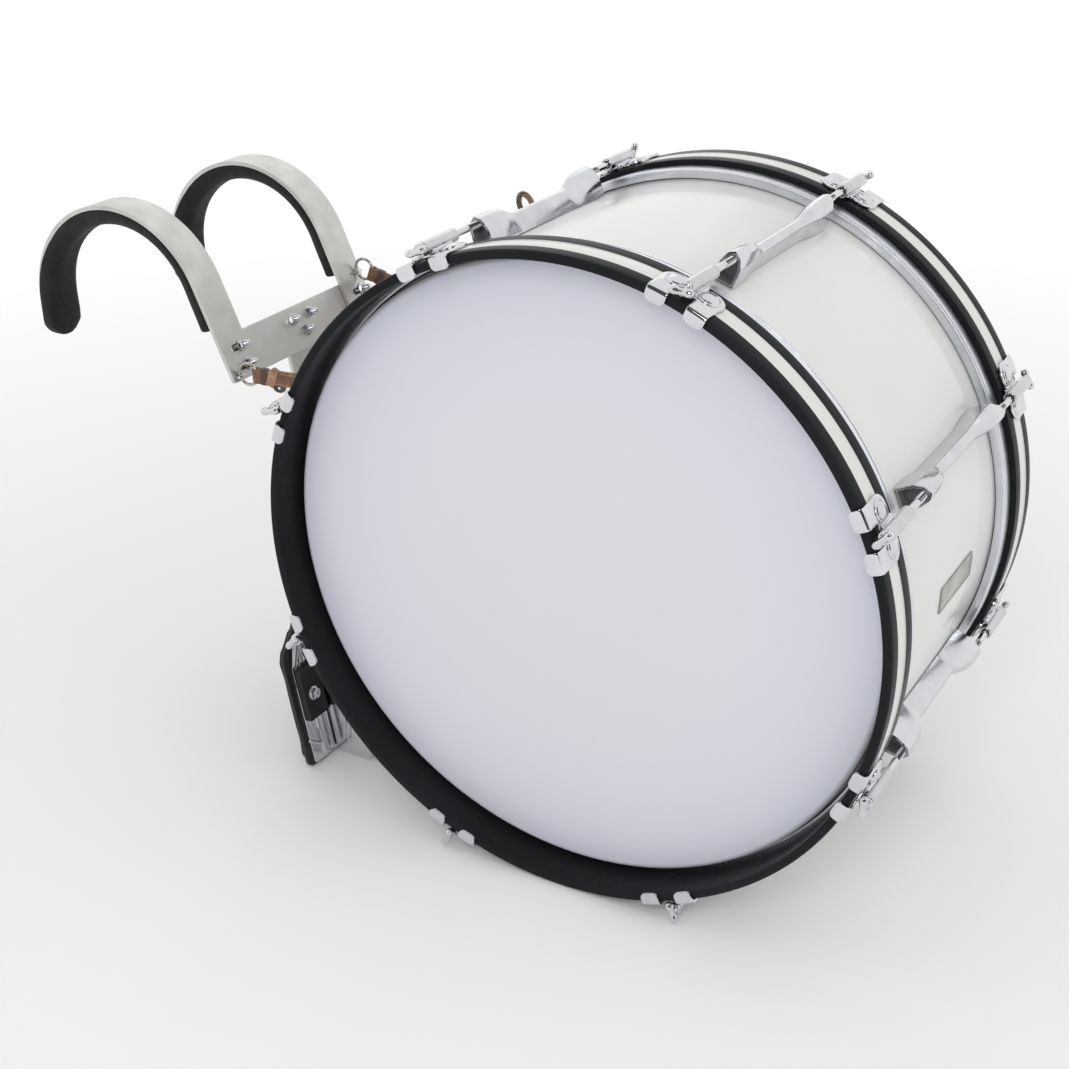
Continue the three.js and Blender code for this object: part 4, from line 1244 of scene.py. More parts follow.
@dataclass
class Lugs:
    """Eight lug bars, each a slender neck between two flared casings with open mouths."""

    half_length: float = 96.0
    half_neck: float = 43.0
    base: float = 279.7
    rod_circle: float = 302.5
    neck: Corner = (11.0, 19.8, 4.5, 7.04, 1.4)
    mouth: Corner = (19.0, 30.0, 12.5, 11.0, 3.6)
    flare: tuple[tuple[float, float, float], ...] = (
        (0.0, 0.0, 0.0), (0.05, 0.02, 0.06), (0.11, 0.08, 0.21), (0.18, 0.2, 0.4),
        (0.26, 0.36, 0.6), (0.35, 0.54, 0.77), (0.46, 0.73, 0.9), (0.58, 0.88, 0.97),
        (0.7, 0.97, 1.0), (0.84, 1.02, 1.01), (1.0, 1.0, 1.0))
    rim: tuple[tuple[float, float], ...] = (
        (0.0, 0.9), (-0.9, 1.15), (-0.9, 1.6), (-0.1, 1.8), (-0.1, 2.3), (-0.6, 2.6))
    pocket: float = 13.0
    pocket_inset: float = 3.4
    bore: float = 3.45
    ease: float = 0.7

    def section(self, x: float, wide: float, tall: float, inset: float = 0.0) -> list[Vector]:
        """The seven-sided section, with its corners cut.

        Args:
            x: Its place along the bar.
            wide: 0 where it is as wide as the neck and 1 as the mouth.
            tall: The same for its height.
            inset: How far it is drawn in.

        Returns:
            The section's points.
        """
        shares = (wide, tall, tall, wide, tall)
        width, height, shoulder, apex, drop = (
            n + (m - n) * share for n, m, share in zip(self.neck, self.mouth, shares))
        half, top, base = width / 2 - inset, self.base + height - inset * 1.15, self.base + inset
        brow = apex / 2 - inset * 0.45
        corners = [Vector((x, -half, base)), Vector((x, half, base)),
                   Vector((x, half, top - shoulder + inset * 0.6)), Vector((x, brow, top - drop)),
                   Vector((x, 0, top)), Vector((x, -brow, top - drop)),
                   Vector((x, -half, top - shoulder + inset * 0.6))]
        points = []
        for i, corner in enumerate(corners):
            for other in (corners[i - 1], corners[(i + 1) % len(corners)]):
                points.append(corner + (other - corner).normalized() * self.ease)
        return points

    def casting(self) -> BMesh:
        """The whole lug at the top of the drum; its mouths' insides are coat 1."""
        reach, floor = self.half_length - self.half_neck, self.half_length - self.pocket
        rows = [(self.half_neck + reach * t, wide, tall, 0.0) for t, wide, tall in self.flare]
        rows += [(self.half_length + back, 1.0, 1.0, inset) for back, inset in self.rim]
        rows.append((floor, 1.0, 1.0, self.pocket_inset))
        rows = [(-x, *rest) for x, *rest in reversed(rows)] + rows
        bm = lofted([self.section(*row) for row in rows])
        deep = self.half_length - 0.3
        for face in bm.faces:
            spot = face.calc_center_median()
            inside = self.base + 1.2 < spot.z < self.base + self.mouth[1] - 1.6
            shaft = abs(spot.x) > floor - 0.1 and inside
            face.material_index = int(shaft and abs(spot.x) < deep and self.faces_in(face, spot))
        for side in Side:
            nose = turned([(floor - 1, self.bore), (floor - 1, 5.2), (floor + 1.6, 4.7, 0.3),
                           (floor + 1.6, self.bore, 0.2)], 24)
            join(bm, nose, Matrix.Translation((0, 0, self.rod_circle)) @ side.turn, 0)
        return bm

    def faces_in(self, face: bmesh.types.BMFace, spot: Vector) -> bool:
        """Whether a face of a mouth looks inwards."""
        axis = Vector((0, 0, self.base + self.mouth[1] / 2))
        towards = Vector((0, axis.y - spot.y, axis.z - spot.z))
        return abs(face.normal.x) > 0.9 or face.normal.dot(towards) > 0

    def build(self, coats: Palette) -> None:
        """Places a lug at each station."""
        casting = self.casting()
        for label in STATIONS:
            name = f"lug_{label}"
            hand_over(copy_of(casting, station_place(label)), name, Body.DRUM.value,
                      [coats.cast, coats.pocket], [name])
        casting.free()


@dataclass
class Claws:
    """Sixteen claw hooks pressed from sheet, each with its barrel."""

    hoop: float = 293.3
    rod_circle: float = 302.5
    middle: float = 294.9
    half_thickness: float = 1.3
    bend_start: float = 182.8
    bend_radius: float = 3.0
    tip: float = 196.1
    wing_x: float = 160.7
    wing_t: float = 14.0
    wing: float = 13.5
    wing_arc: tuple[float, float] = (240.0, 67.8)
    wing_steps: int = 18
    wing_crown: float = 0.9
    tab: tuple[float, float] = (8.5, 26.5)
    bridge: tuple[float, float] = (153.95, 171.2)
    barrel: tuple[float, float, float] = (131.2, 178.2, 5.8)
    bore: float = 3.75
    web: tuple[Corner, Corner] = ((29.0, 12.5, 6.0), (156.5, 0.0, 298.6))
    foot: tuple[Corner, Corner] = ((24.0, 15.5, 2.4), (158.0, 0.0, 296.6))

    def plan(self) -> list[Corner]:
        """The flat outline: two round wings, a bridge and two tabs."""
        start, end = self.wing_arc
        wing = []
        for i in range(self.wing_steps + 1):
            angle = math.radians(start + (end - start) * i / self.wing_steps)
            wing.append((self.wing_x + self.wing * math.cos(angle),
                         self.wing_t + self.wing * math.sin(angle)))
        inner, outer = self.tab
        half: list[Corner] = wing + [(self.tip, outer, 5.0), (self.tip, inner, 5.0),
                                     (self.bridge[1], inner, 2.0)]
        return half + [(c[0], -c[1], *c[2:]) for c in reversed(half)]

    def fold(self, point: Vector) -> Vector:
        """Takes a point of the flat blank to its place on the hoop."""
        along, across, off = point
        for sign in (-1, 1):
            spread = math.hypot(along - self.wing_x, across - sign * self.wing_t) / self.wing
            if spread < 1:
                off += self.wing_crown * (1 - spread * spread)
        run = along - self.bend_start
        quarter = self.bend_radius * math.pi / 2
        if run <= 0:
            x, radius = along, self.middle + off
        elif run < quarter:
            angle = run / self.bend_radius
            x = self.bend_start + (self.bend_radius + off) * math.sin(angle)
            radius = self.middle - self.bend_radius + (self.bend_radius + off) * math.cos(angle)
        else:
            x = self.bend_start + self.bend_radius + off
            radius = self.middle - self.bend_radius - (run - quarter)
        theta = across / self.middle
        return Vector((x, radius * math.sin(theta), radius * math.cos(theta)))

    def pressing(self) -> BMesh:
        """One claw at the top of the drum."""
        half, reach = self.half_thickness, self.wing_t + self.wing
        bm = plate(self.plan(), -half, half, edge=0.7, rings=2, segments=6)
        sliced(bm, ALONG_X, steps_between(self.wing_x - self.wing, self.bend_start, 3.0))
        sliced(bm, ALONG_X, [self.bend_start + 0.8 * i for i in range(7)])
        sliced(bm, ALONG_Y, steps_between(-reach, reach, 3.4))
        for sign in (-1, 1):
            boss = turned([(-0.4, 0), (-0.4, 10.4), (0.5, 10.4, 0.3), (0.9, 9.6, 0.3),
                           (0.9, 9.0, 0.2), (0.2, 8.5, 0.2), (0.2, 7.9, 0.2), (1.1, 7.2, 0.4),
                           (1.7, 3.5, 1.0), (1.85, 0)], 36)
            join(bm, boss, Matrix.Translation((self.wing_x, sign * self.wing_t, half)) @ axes(
                ALONG_Z, ALONG_X, ALONG_Y))
        pressed(bm, self.fold)
        start, end, radius = self.barrel
        tube = turned([(start, self.bore, 0.4), (start, radius, 0.9), (end, radius, 0.9),
                       (end, self.bore, 0.4)], 40, 3)
        lift = Matrix.Translation((0, 0, self.rod_circle))
        join(bm, tube, lift, 1)
        for x in (start + 2.4, end - 2.4):
            bead = turned([(x - 0.8, radius - 0.6), (x, radius + 0.28, 0.4),
                           (x + 0.8, radius - 0.6)], 40)
            join(bm, bead, lift, 1)
        join(bm, block(*self.web, 1.4, 0.62), coat=0)
        join(bm, block(*self.foot, 0.9, 0.8), coat=0)
        return bm

    def build(self, coats: Palette) -> None:
        """Places a claw at each end of each station."""
        pressing = self.pressing()
        for label in STATIONS:
            for side in Side:
                name = f"{side.value}_claw_{label}"
                hand_over(copy_of(pressing, station_place(label, side)), name, Body.DRUM.value,
                          [coats.chrome, coats.barrel], [name], crease=38)
        pressing.free()


@dataclass
class TRods:
    """Sixteen tension rods with T-handles, each on its own body."""

    rod_circle: float = 302.5
    radius: float = 3.175
    tip: float = 66.0
    thread_end: float = 112.0
    pitch: float = 1.25
    handle_x: float = 186.0
    collar: tuple[float, float, float] = (178.5, 181.5, 5.5)
    handle_half: float = 10.0
    turned_to: dict[Side, tuple[float, ...]] = field(default_factory=lambda: {
        Side.RIGHT: (47, -6, 21, 14, 48, 247, 292, 88),
        Side.LEFT: (120, 28, 75, 160, 35, 140, 5, 62)})

    def rod(self) -> BMesh:
        """One rod along X with its handle along Y."""
        bm = threaded(self.radius, self.tip, self.thread_end, self.pitch)
        shank = turned([(self.thread_end - 1, 0), (self.thread_end - 1, 2.9, 0.2),
                        (self.thread_end + 1, self.radius, 0.4), (self.handle_x, self.radius),
                        (self.handle_x, 0)], 24)
        join(bm, shank)
        start, end, outer = self.collar
        join(bm, turned([(start, 0), (start, outer, 0.6), (end, outer, 0.6), (end, 3.9, 0.3),
                         (end + 0.9, 3.9, 0.4), (self.handle_x - 2.6, 3.3, 0.6),
                         (self.handle_x, 3.6), (self.handle_x, 0)], 32))
        half = self.handle_half
        grip = turned([(-half, 0), (-half + 0.35, 2.4, 1.0), (-half + 3.9, 3.8, 1.6),
                       (-2.6, 3.0, 1.4), (2.6, 3.0, 1.4), (half - 3.9, 3.8, 1.6),
                       (half - 0.35, 2.4, 1.0), (half, 0)], 28, 4)
        place = Matrix.Translation((self.handle_x, 0, 0)) @ Matrix.Rotation(math.pi / 2, 4, "Z")
        return join(bm, grip, place)

    def build(self, coats: Palette) -> None:
        """Places each rod at its station, with its handle as it was last tuned."""
        rod = self.rod()
        for side, handles in self.turned_to.items():
            for label, handle in zip(STATIONS, handles):
                name = f"{side.value}_t_rod_{label}"
                angle = math.radians(station_angle(label))
                axis = Matrix.Translation((0, self.rod_circle * math.cos(angle),
                                           self.rod_circle * math.sin(angle)))
                place = axis @ Matrix.Rotation(math.radians(handle), 4, "X") @ side.turn
                hand_over(copy_of(rod, place), name, name, [coats.chrome], [name])
        rod.free()


# The carrier


CARRIER = LeaningFace(-384.5, 127.30, 23.0)
BELLY_FRONT = LeaningFace(-311.27, -292.57, 10.5)
BELLY_BACK = LeaningFace(-327.0, -295.49, 10.5)
BAR_STOCK = 4.0
BAR_EASE = 0.7
SEAT_GAP = 0.3
BOLT_X = 97.0
BAR_X = {Side.RIGHT: 106.0, Side.LEFT: -87.0}


def flat_bar(outline: Sequence[Corner], holes: Sequence[Sequence[Corner]] = (),
             segments: int = 6) -> BMesh:
    """A flat blank of the carrier's bar stock, about its middle plane."""
    return plate(outline, -BAR_STOCK / 2, BAR_STOCK / 2, holes, BAR_EASE, 3, segments)


@dataclass
class Crossbar:
    """The flat crossbar with the bolts that hold the shoulder bars and the upright."""

    half_length: float = 106.0
    top: float = 17.0
    bottom: float = -26.0
    bolt_rises: tuple[float, float] = (4.0, -14.5)
    clamp_bolts: tuple[Corner, ...] = ((13.7, 4.5), (-13.7, 4.5), (0.0, -9.6))
    bolt: float = 3.0
    nut: float = 4.75
    nut_height: float = 4.2
    head_height: float = 3.3
    front_washer: Corner = (6.1, 3.2, 0.9)
    back_washer: Corner = (5.8, 3.2, 0.8)

    def build(self, coats: Palette) -> None:
        """Makes the bar and all its fasteners."""
        half, low, high = self.half_length, self.bottom, self.top
        bm = plate(panel((-half, low), (half, high), 4), -BAR_STOCK, 0.0, edge=BAR_EASE, rings=3,
                   segments=6)
        laid(bm, CARRIER.place)
        hand_over(tidied(bm), "carrier_crossbar", Body.DRUM.value, [coats.bar],
                  ["carrier_crossbar"])
        front = SEAT_GAP + BAR_STOCK + SEAT_GAP
        slots = [(x, rise) for x in (-BOLT_X, BOLT_X) for rise in self.bolt_rises]
        for number, (x, rise) in enumerate(slots, 1):
            self.fastener(f"slot_bolt_{number}", x, rise, front, -BAR_STOCK, coats)
        back = -BAR_STOCK - SEAT_GAP - BAR_STOCK - SEAT_GAP
        for number, (x, rise) in enumerate(self.clamp_bolts, 1):
            self.fastener(f"clamp_bolt_{number}", x, rise, 0.0, back, coats)

    def fastener(self, name: str, x: float, rise: float, front: float, back: float,
                 coats: Palette) -> None:
        """A bolt through the bars, with its washers and nut in front and its head behind.

        Args:
            name: The piece's name.
            x: Its place across.
            rise: Its place up the face.
            front: Where the nut's washer lies.
            back: Where the head's washer lies.
            coats: The materials.
        """
        bm = bmesh.new()
        forward = CARRIER.standing(x, rise, front)
        join(bm, washer(*self.front_washer), forward)
        spin = Matrix.Rotation(math.radians(17 + 31 * rise + x), 4, "X")
        nut = hex_nut(self.nut, self.nut_height)
        join(bm, nut, forward @ Matrix.Translation((0.85, 0, 0)) @ spin)
        join(bm, threaded(self.bolt, -1.0, 10.4, 1.0, 18), forward)
        rearward = CARRIER.standing(x, rise, back) @ Matrix.Rotation(math.pi, 4, "Z")
        join(bm, washer(*self.back_washer), rearward)
        head = hex_nut(self.nut, self.head_height)
        join(bm, head, rearward @ Matrix.Translation((0.7, 0, 0)) @ spin)
        shank = turned([(-10.5, 0), (-10.5, self.bolt), (0.5, self.bolt), (0.5, 0)], 18)
        join(bm, shank, rearward)
        hand_over(bm, name, Body.DRUM.value, [coats.zinc])


@dataclass
class Upright:
    """The bent flat bar from the crossbar down to the belly plate."""

    half_width: float = 30.0
    top: float = 14.0
    foot: float = 100.0
    bend_rise: float = -18.207
    bend_radius: float = 14.0
    hole: float = 3.3
    screws: tuple[Corner, ...] = ((-18, 112), (18, 112), (-18, 140), (18, 140))

    def build(self, coats: Palette) -> None:
        """Makes the upright and the screws that fix it to the belly plate."""
        off = -BAR_STOCK - SEAT_GAP - BAR_STOCK / 2
        bend = CARRIER.at(0, self.bend_rise, off)
        low = BELLY_FRONT.at(0, self.foot, SEAT_GAP + BAR_STOCK / 2)
        straight = (bend - low).length
        opening = math.radians(CARRIER.lean - BELLY_FRONT.lean)
        cut = self.bend_radius * math.tan(opening / 2)
        centre = low + BELLY_FRONT.up * (straight - cut) - BELLY_FRONT.out * self.bend_radius
        route = Route(low, BELLY_FRONT.up, BELLY_FRONT.out, straight - cut, centre,
                      self.bend_radius, BELLY_FRONT.lean, CARRIER.lean)
        length = straight - 2 * cut + route.sweep + self.top - self.bend_rise
        half = self.half_width
        holes = [ringed(self.hole, 20, x, length - (self.top - rise))
                 for x, rise in Crossbar().clamp_bolts]
        bm = flat_bar(panel((-half, 0), (half, length), 6, 4), holes)
        sliced(bm, ALONG_Y, [route.leg + route.sweep * i / 8 for i in range(9)])
        hand_over(tidied(route.bend(bm, 0.0)), "carrier_upright", Body.DRUM.value,
                  [coats.bar], ["carrier_upright"])
        for number, (x, rise) in enumerate(self.screws, 1):
            screw = bmesh.new()
            place = BELLY_FRONT.standing(x, rise, SEAT_GAP + BAR_STOCK)
            join(screw, washer(6.5, 3.1, 0.8), place)
            join(screw, domed_screw(5.0, 3.2), place @ Matrix.Translation((0.7, 0, 0)))
            hand_over(screw, f"upright_screw_{number}", Body.DRUM.value, [coats.zinc])


@dataclass
class ShoulderBars:
    """The two flat bars arched over the shoulders, with slotted feet, staples and foam pads."""

    half_width: float = 18.0
    foot: float = -26.0
    leg: float = 95.25
    arch: float = 103.5
    arch_centre: tuple[float, float] = (-504.716, 151.5)
    tail: float = 31.5
    slot_reach: tuple[float, float] = (-1.0, 12.0)
    slot_radius: float = 3.3
    pad_half: float = 21.0
    pad_thickness: float = 12.0
    pad_start: float = 52.5
    pad_end: float = 418.4
    lip_from: tuple[float, float] = (0.42, 0.6)
    lip_height: float = 4.5
    lip_reach: tuple[float, float] = (0.1, 1.3)
    lip_depth: tuple[float, float] = (-7.0, -1.5)
    pad_waist: float = 0.05
    ring_offset: dict[Side, tuple[float, float]] = field(default_factory=lambda: {
        Side.RIGHT: (116.5, -22.0), Side.LEFT: (-97.0, 22.0)})

    @property
    def route(self) -> Route:
        """The middle line of a bar's stock."""
        start = CARRIER.at(0, self.foot, SEAT_GAP + BAR_STOCK / 2)
        return Route(start, CARRIER.up, CARRIER.out, self.leg, Vector((0, *self.arch_centre)),
                     self.arch, CARRIER.lean, 180.0)

    def build(self, coats: Palette) -> None:
        """Makes both bars, their staples and their pads."""
        pad = self.pad_blank()
        for side in Side:
            self.bar(side, coats)
            self.staple(side, coats)
            self.pad(side, pad.copy(), coats)
        pad.free()

    def bar(self, side: Side, coats: Palette) -> None:
        """A bar, cut flat with its two slots and round tip, then bent over its arch."""
        route, half = self.route, self.half_width
        end = self.leg + route.sweep + self.tail
        middle = BAR_X[side]
        bolt = side.sign * BOLT_X
        radius = self.slot_radius
        holes = []
        for rise in Crossbar().bolt_rises:
            y = rise - self.foot
            x0, x1 = (bolt + reach - middle for reach in self.slot_reach)
            holes.append(panel((x0 - radius, y - radius), (x1 + radius, y + radius), radius))
        bm = flat_bar(panel((-half, 0), (half, end), 3, half - 0.01), holes, 12)
        sliced(bm, ALONG_Y, steps_between(self.leg, end, 5.0) + [self.leg - 20, self.leg])
        name = f"{side.value}_shoulder_bar"
        hand_over(tidied(route.bend(bm, middle)), name, shoulder_body(side).value,
                  [coats.bar], [name])

    def staple(self, side: Side, coats: Palette) -> None:
        """The little bridge that the strap's ring hangs from."""
        x, rise = self.ring_offset[side]
        foot, low, top = 3.8, 8.3, 11.3
        bm = plate([(-5, foot), (-2, foot), (-2, low, 1.2), (2, low, 1.2), (2, foot), (5, foot),
                    (5, top, 2.4), (-5, top, 2.4)], -1.5, 1.5, edge=0.8, rings=3, segments=5)
        lay = axes(ALONG_X, ALONG_Z, ALONG_Y)
        laid(bm, CARRIER.place @ Matrix.Translation((x, rise, 0)) @ lay)
        hand_over(tidied(bm), f"{side.value}_staple", shoulder_body(side).value,
                  [coats.zinc])

    def pad_blank(self) -> BMesh:
        """The foam strip before it is bent: flat above, filled and crowned below."""
        half = self.pad_half - 0.4
        bm = plate([(-half + 1.5, self.pad_start, 4), (half - 1.5, self.pad_start, 4),
                    (half, self.pad_end - 1.2, half - 0.01),
                    (-half, self.pad_end - 1.2, half - 0.01)],
                   -self.pad_thickness + 1.2, 0.0, edge=2.2, rings=3, segments=12)
        return swollen(bm, 2.6, 3.0, 5.0, lambda p: p.z > -2.0)

    def pad(self, side: Side, bm: BMesh, coats: Palette) -> None:
        """Lays the foam strip under its bar."""
        under = -BAR_STOCK / 2 - SEAT_GAP
        start, end = self.pad_start, self.pad_end
        tip = self.leg + self.route.sweep + self.tail - self.half_width

        def ramp(value: float, low: float, high: float) -> float:
            """A soft step from 0 to 1."""
            share = min(1.0, max(0.0, (value - low) / (high - low)))
            return share * share * (3 - 2 * share)

        def settle(p: Vector) -> Vector:
            """Draws the strip in at its middle, seats it and lips it round the bar's tail."""
            share = min(1.0, max(0.0, (p.y - start) / (end - start)))
            waist = 1 - self.pad_waist * math.sin(math.pi * min(1.0, share * 1.12)) ** 2
            x, z = p.x * waist, min(p.z, 0.0)
            beside = math.hypot(x, max(0.0, p.y - tip)) - self.half_width
            lip = self.lip_height * ramp(share, *self.lip_from) * ramp(beside, *self.lip_reach)
            return Vector((x, p.y, z + under + lip * ramp(z, *self.lip_depth)))

        name = f"{side.value}_shoulder_pad"
        piece = hand_over(self.route.bend(pressed(bm, settle), BAR_X[side]), name,
                          shoulder_body(side).value, [coats.foam], [name], crease=60,
                          weighted=False)


@dataclass
class BellyPlate:
    """The black belly plate and the foam behind it."""

    half_width: float = 140.0
    height: float = 190.0
    cut: tuple[float, float] = (75.0, 68.0)
    corner: float = 8.0
    thickness: float = 4.0
    foam: float = 11.7
    inset: float = 2.0
    channel_at: tuple[float, float, float] = (96.0, 150.0, 14.0)
    channel_half: float = 6.0
    channel_depth: float = 1.6

    def outline(self, inset: float, ease: float) -> list[Corner]:
        """The plate's outline with its upper corners cut off, drawn in by some inset."""
        half, top = self.half_width - inset, self.height - inset
        slope = self.cut[1] / self.cut[0]
        trim = inset * (math.hypot(1, slope) - 1) / slope
        side = top + inset - self.cut[1] - trim
        brow = self.half_width - self.cut[0] - trim
        right = [(half, inset, ease), (half, side, ease), (brow, top, ease)]
        return right + [(-c[0], c[1], c[2]) for c in reversed(right)]

    def build(self, coats: Palette) -> None:
        """Makes the plate and its foam."""
        bm = plate(self.outline(0.0, self.corner), -self.thickness, 0.0, edge=1.0, rings=3,
                   segments=8)
        rib = plate(self.outline(5.0, self.corner - 2), -0.4, 0.7,
                    [self.outline(8.0, self.corner - 4)], edge=0.3, segments=6)
        join(bm, rib)
        laid(bm, BELLY_FRONT.place)
        hand_over(tidied(bm), "belly_plate", Body.DRUM.value, [coats.plate],
                  ["belly_plate"])
        pad = plate(self.outline(self.inset + 1.5, self.corner), 1.0, self.foam, edge=3.0,
                    rings=3, segments=6)
        pad = swollen(pad, 5.0, 4.0, 6.0, lambda p: p.z > self.foam - 3.0)
        side, top, run = self.channel_at

        def settle(p: Vector) -> Vector:
            """Keeps the foam flat on the plate and presses a channel inside its edge."""
            depth = min(p.z, self.foam)
            beside = abs(max(abs(p.x) - side, 0) + max(p.y - top, 0) - run)
            if depth < self.foam * 0.5 and beside < self.channel_half:
                depth += self.channel_depth * (1 - beside / self.channel_half) ** 2
            return Vector((p.x, p.y, depth))

        pressed(pad, settle)
        laid(pad, BELLY_BACK.place)
        bmesh.ops.recalc_face_normals(pad, faces=pad.faces)
        piece = hand_over(pad, "belly_foam", Body.DRUM.value, [coats.foam], ["belly_foam"],
                          crease=60, weighted=False)


@dataclass
class DrumBracket:
    """The chromed bracket on the belly plate, whose hooks carry the lower T-rods."""

    half_width: float = 133.0
    foot: float = 2.0
    height: float = 90.0
    sheet: float = 2.5
    flange_x: float = 98.0
    rod: tuple[float, float] = (-279.474, -115.761)
    reach: float = 11.675
    notch: float = 3.675
    lip: float = 12.0
    depth: float = 46.0
    fins: tuple[float, float] = (104.6, 116.4)
    fin: Corner = (5.6, 47.0, 4.2)
    fin_rise: float = 25.5
    wing: float = 1.6
    ribs: tuple[float, ...] = (128.0, 121.0, 114.0, 107.0)
    rubbers: tuple[tuple[str, float, float, float], ...] = (
        ("outer", 118.2, 14.8, 8.0), ("inner", 84.0, 12.0, 6.0))
    rubber_rises: tuple[float, float] = (50.0, 105.0)
    bolt_at: tuple[float, float] = (2.6, 77.0)
    screw_at: tuple[float, float] = (52.0, 60.0)

    def build(self, coats: Palette) -> None:
        """Makes the pressed sheet, its hooks, rubber blocks and bolts."""
        half, low, high = self.half_width, self.foot, self.foot + self.height
        bm = plate(panel((-half, low), (half, high), 4, 6), SEAT_GAP, SEAT_GAP + self.sheet,
                   edge=0.6, rings=3, segments=6)
        face = SEAT_GAP + self.sheet
        for sign in (-1, 1):
            for x in self.fins:
                middle = (sign * x, low + self.fin_rise, face + 0.9)
                join(bm, block(self.fin, middle, 1.9, 0.9))
            bead = turned([(-13, 0), (-12.4, 1.2, 0.6), (-10, 1.9, 0.8), (10, 1.9, 0.8),
                           (12.4, 1.2, 0.6), (13, 0)], 20)
            lean = Matrix.Rotation(math.radians(sign * 34), 4, "Z")
            join(bm, bead, Matrix.Translation((sign * 125, 22, face)) @ lean)
            join(bm, self.fan(sign, face - self.wing))
        laid(bm, BELLY_FRONT.place)
        for sign in (-1, 1):
            join(bm, self.flange(sign))
        hand_over(tidied(bm), "drum_bracket", Body.DRUM.value, [coats.chrome],
                  ["drum_bracket"])
        self.blocks(coats)

    def flange(self, sign: int) -> BMesh:
        """A flange with an upward-open hook under its T-rod and pressed fins."""
        y, z = self.rod
        reach, notch, lip = self.reach, self.notch, self.lip
        middle = SEAT_GAP + self.sheet / 2
        bottom = BELLY_FRONT.at(0, self.foot, middle)
        top = BELLY_FRONT.at(0, self.foot + self.height, middle)
        seat = [(y + notch * math.cos(math.radians(-a)), z + notch * math.sin(math.radians(-a)))
                for a in range(0, 181, 15)]
        outline: list[Corner] = [
            (bottom.y, bottom.z), (bottom.y + self.depth, bottom.z, 4), (y + reach, z - reach, 4),
            (y + reach, z + lip, 4), (y + notch, z + lip, 1.5), *seat,
            (y - notch, z + lip, 1.5), (y - reach, z + lip, 4), (top.y, top.z)]
        x = self.flange_x
        bm = plate(outline, 0.0, self.sheet, edge=0.5, rings=2, segments=5)
        outside = self.sheet if sign > 0 else 0.0
        for share in (0.25, 0.5, 0.75):
            foot = Vector((bottom.y + 8 + 22 * share, bottom.z + 14))
            head = Vector((y - 9 + 16 * share, z - 12))
            run = head - foot
            fin = block((run.length, 3.0, 1.8), (0, 0, outside), 0.7, 0.8)
            turn = Matrix.Rotation(math.atan2(run.y, run.x), 4, "Z")
            join(bm, fin, Matrix.Translation(((foot + head) / 2).to_3d()) @ turn)
        shift = Matrix.Translation((x if sign > 0 else -x - self.sheet, 0, 0))
        return tidied(laid(bm, shift @ axes(ALONG_Y, ALONG_Z, ALONG_X)))

    def fan(self, sign: int, low: float) -> BMesh:
        """The fan-shaped wing above the sheet, with ribs that spread down from its tip."""
        outline: list[Corner] = [(133, 88, 1), (133, 108, 5), (124, 133, 4), (106, 128, 4),
                                 (99, 88, 1)]
        bm = plate([(sign * c[0], *c[1:]) for c in outline], low, low + self.wing, edge=0.4)
        for foot in self.ribs:
            run = Vector((115.0 - foot, 26.0))
            rib = block((2.6, run.length, 2.2), (0, 0, 0), 0.9, 0.9)
            turn = Matrix.Rotation(math.atan2(-sign * run.x, run.y), 4, "Z")
            middle = (sign * (foot + run.x / 2 + 1.5), 116.5, low + 1.5)
            join(bm, rib, Matrix.Translation(middle) @ turn)
        return bm

    def blocks(self, coats: Palette) -> None:
        """Two rubber blocks with their bolts at each end of the sheet, and screws between."""
        face = SEAT_GAP + self.sheet
        low, high = self.rubber_rises
        bolt_out, bolt_rise = self.bolt_at
        for side in Side:
            for kind, x, half, thick in self.rubbers:
                x *= side.sign
                bm = plate(panel((x - half, low), (x + half, high), 2.5), face + 0.1,
                           face + thick, edge=1.2, rings=3, segments=5)
                laid(bm, BELLY_FRONT.place)
                hand_over(tidied(bm), f"{side.value}_{kind}_block", Body.DRUM.value,
                          [coats.rubber])
                bolt = bmesh.new()
                place = BELLY_FRONT.standing(x + side.sign * bolt_out, bolt_rise, face + thick)
                join(bolt, washer(7.2, 3.2, 1.2), place)
                join(bolt, hex_nut(5.6, 4.5), place @ Matrix.Translation((1.1, 0, 0)))
                join(bolt, domed_screw(3.0, 1.6), place @ Matrix.Translation((5.4, 0, 0)))
                hand_over(bolt, f"{side.value}_{kind}_bolt", Body.DRUM.value,
                          [coats.zinc])
        screw_x, screw_rise = self.screw_at
        for number, x in enumerate((-screw_x, screw_x), 1):
            screw = domed_screw(5.5, 3.4)
            laid(screw, BELLY_FRONT.standing(x, screw_rise, face))
            hand_over(tidied(screw), f"bracket_screw_{number}", Body.DRUM.value,
                      [coats.zinc])


# Straps


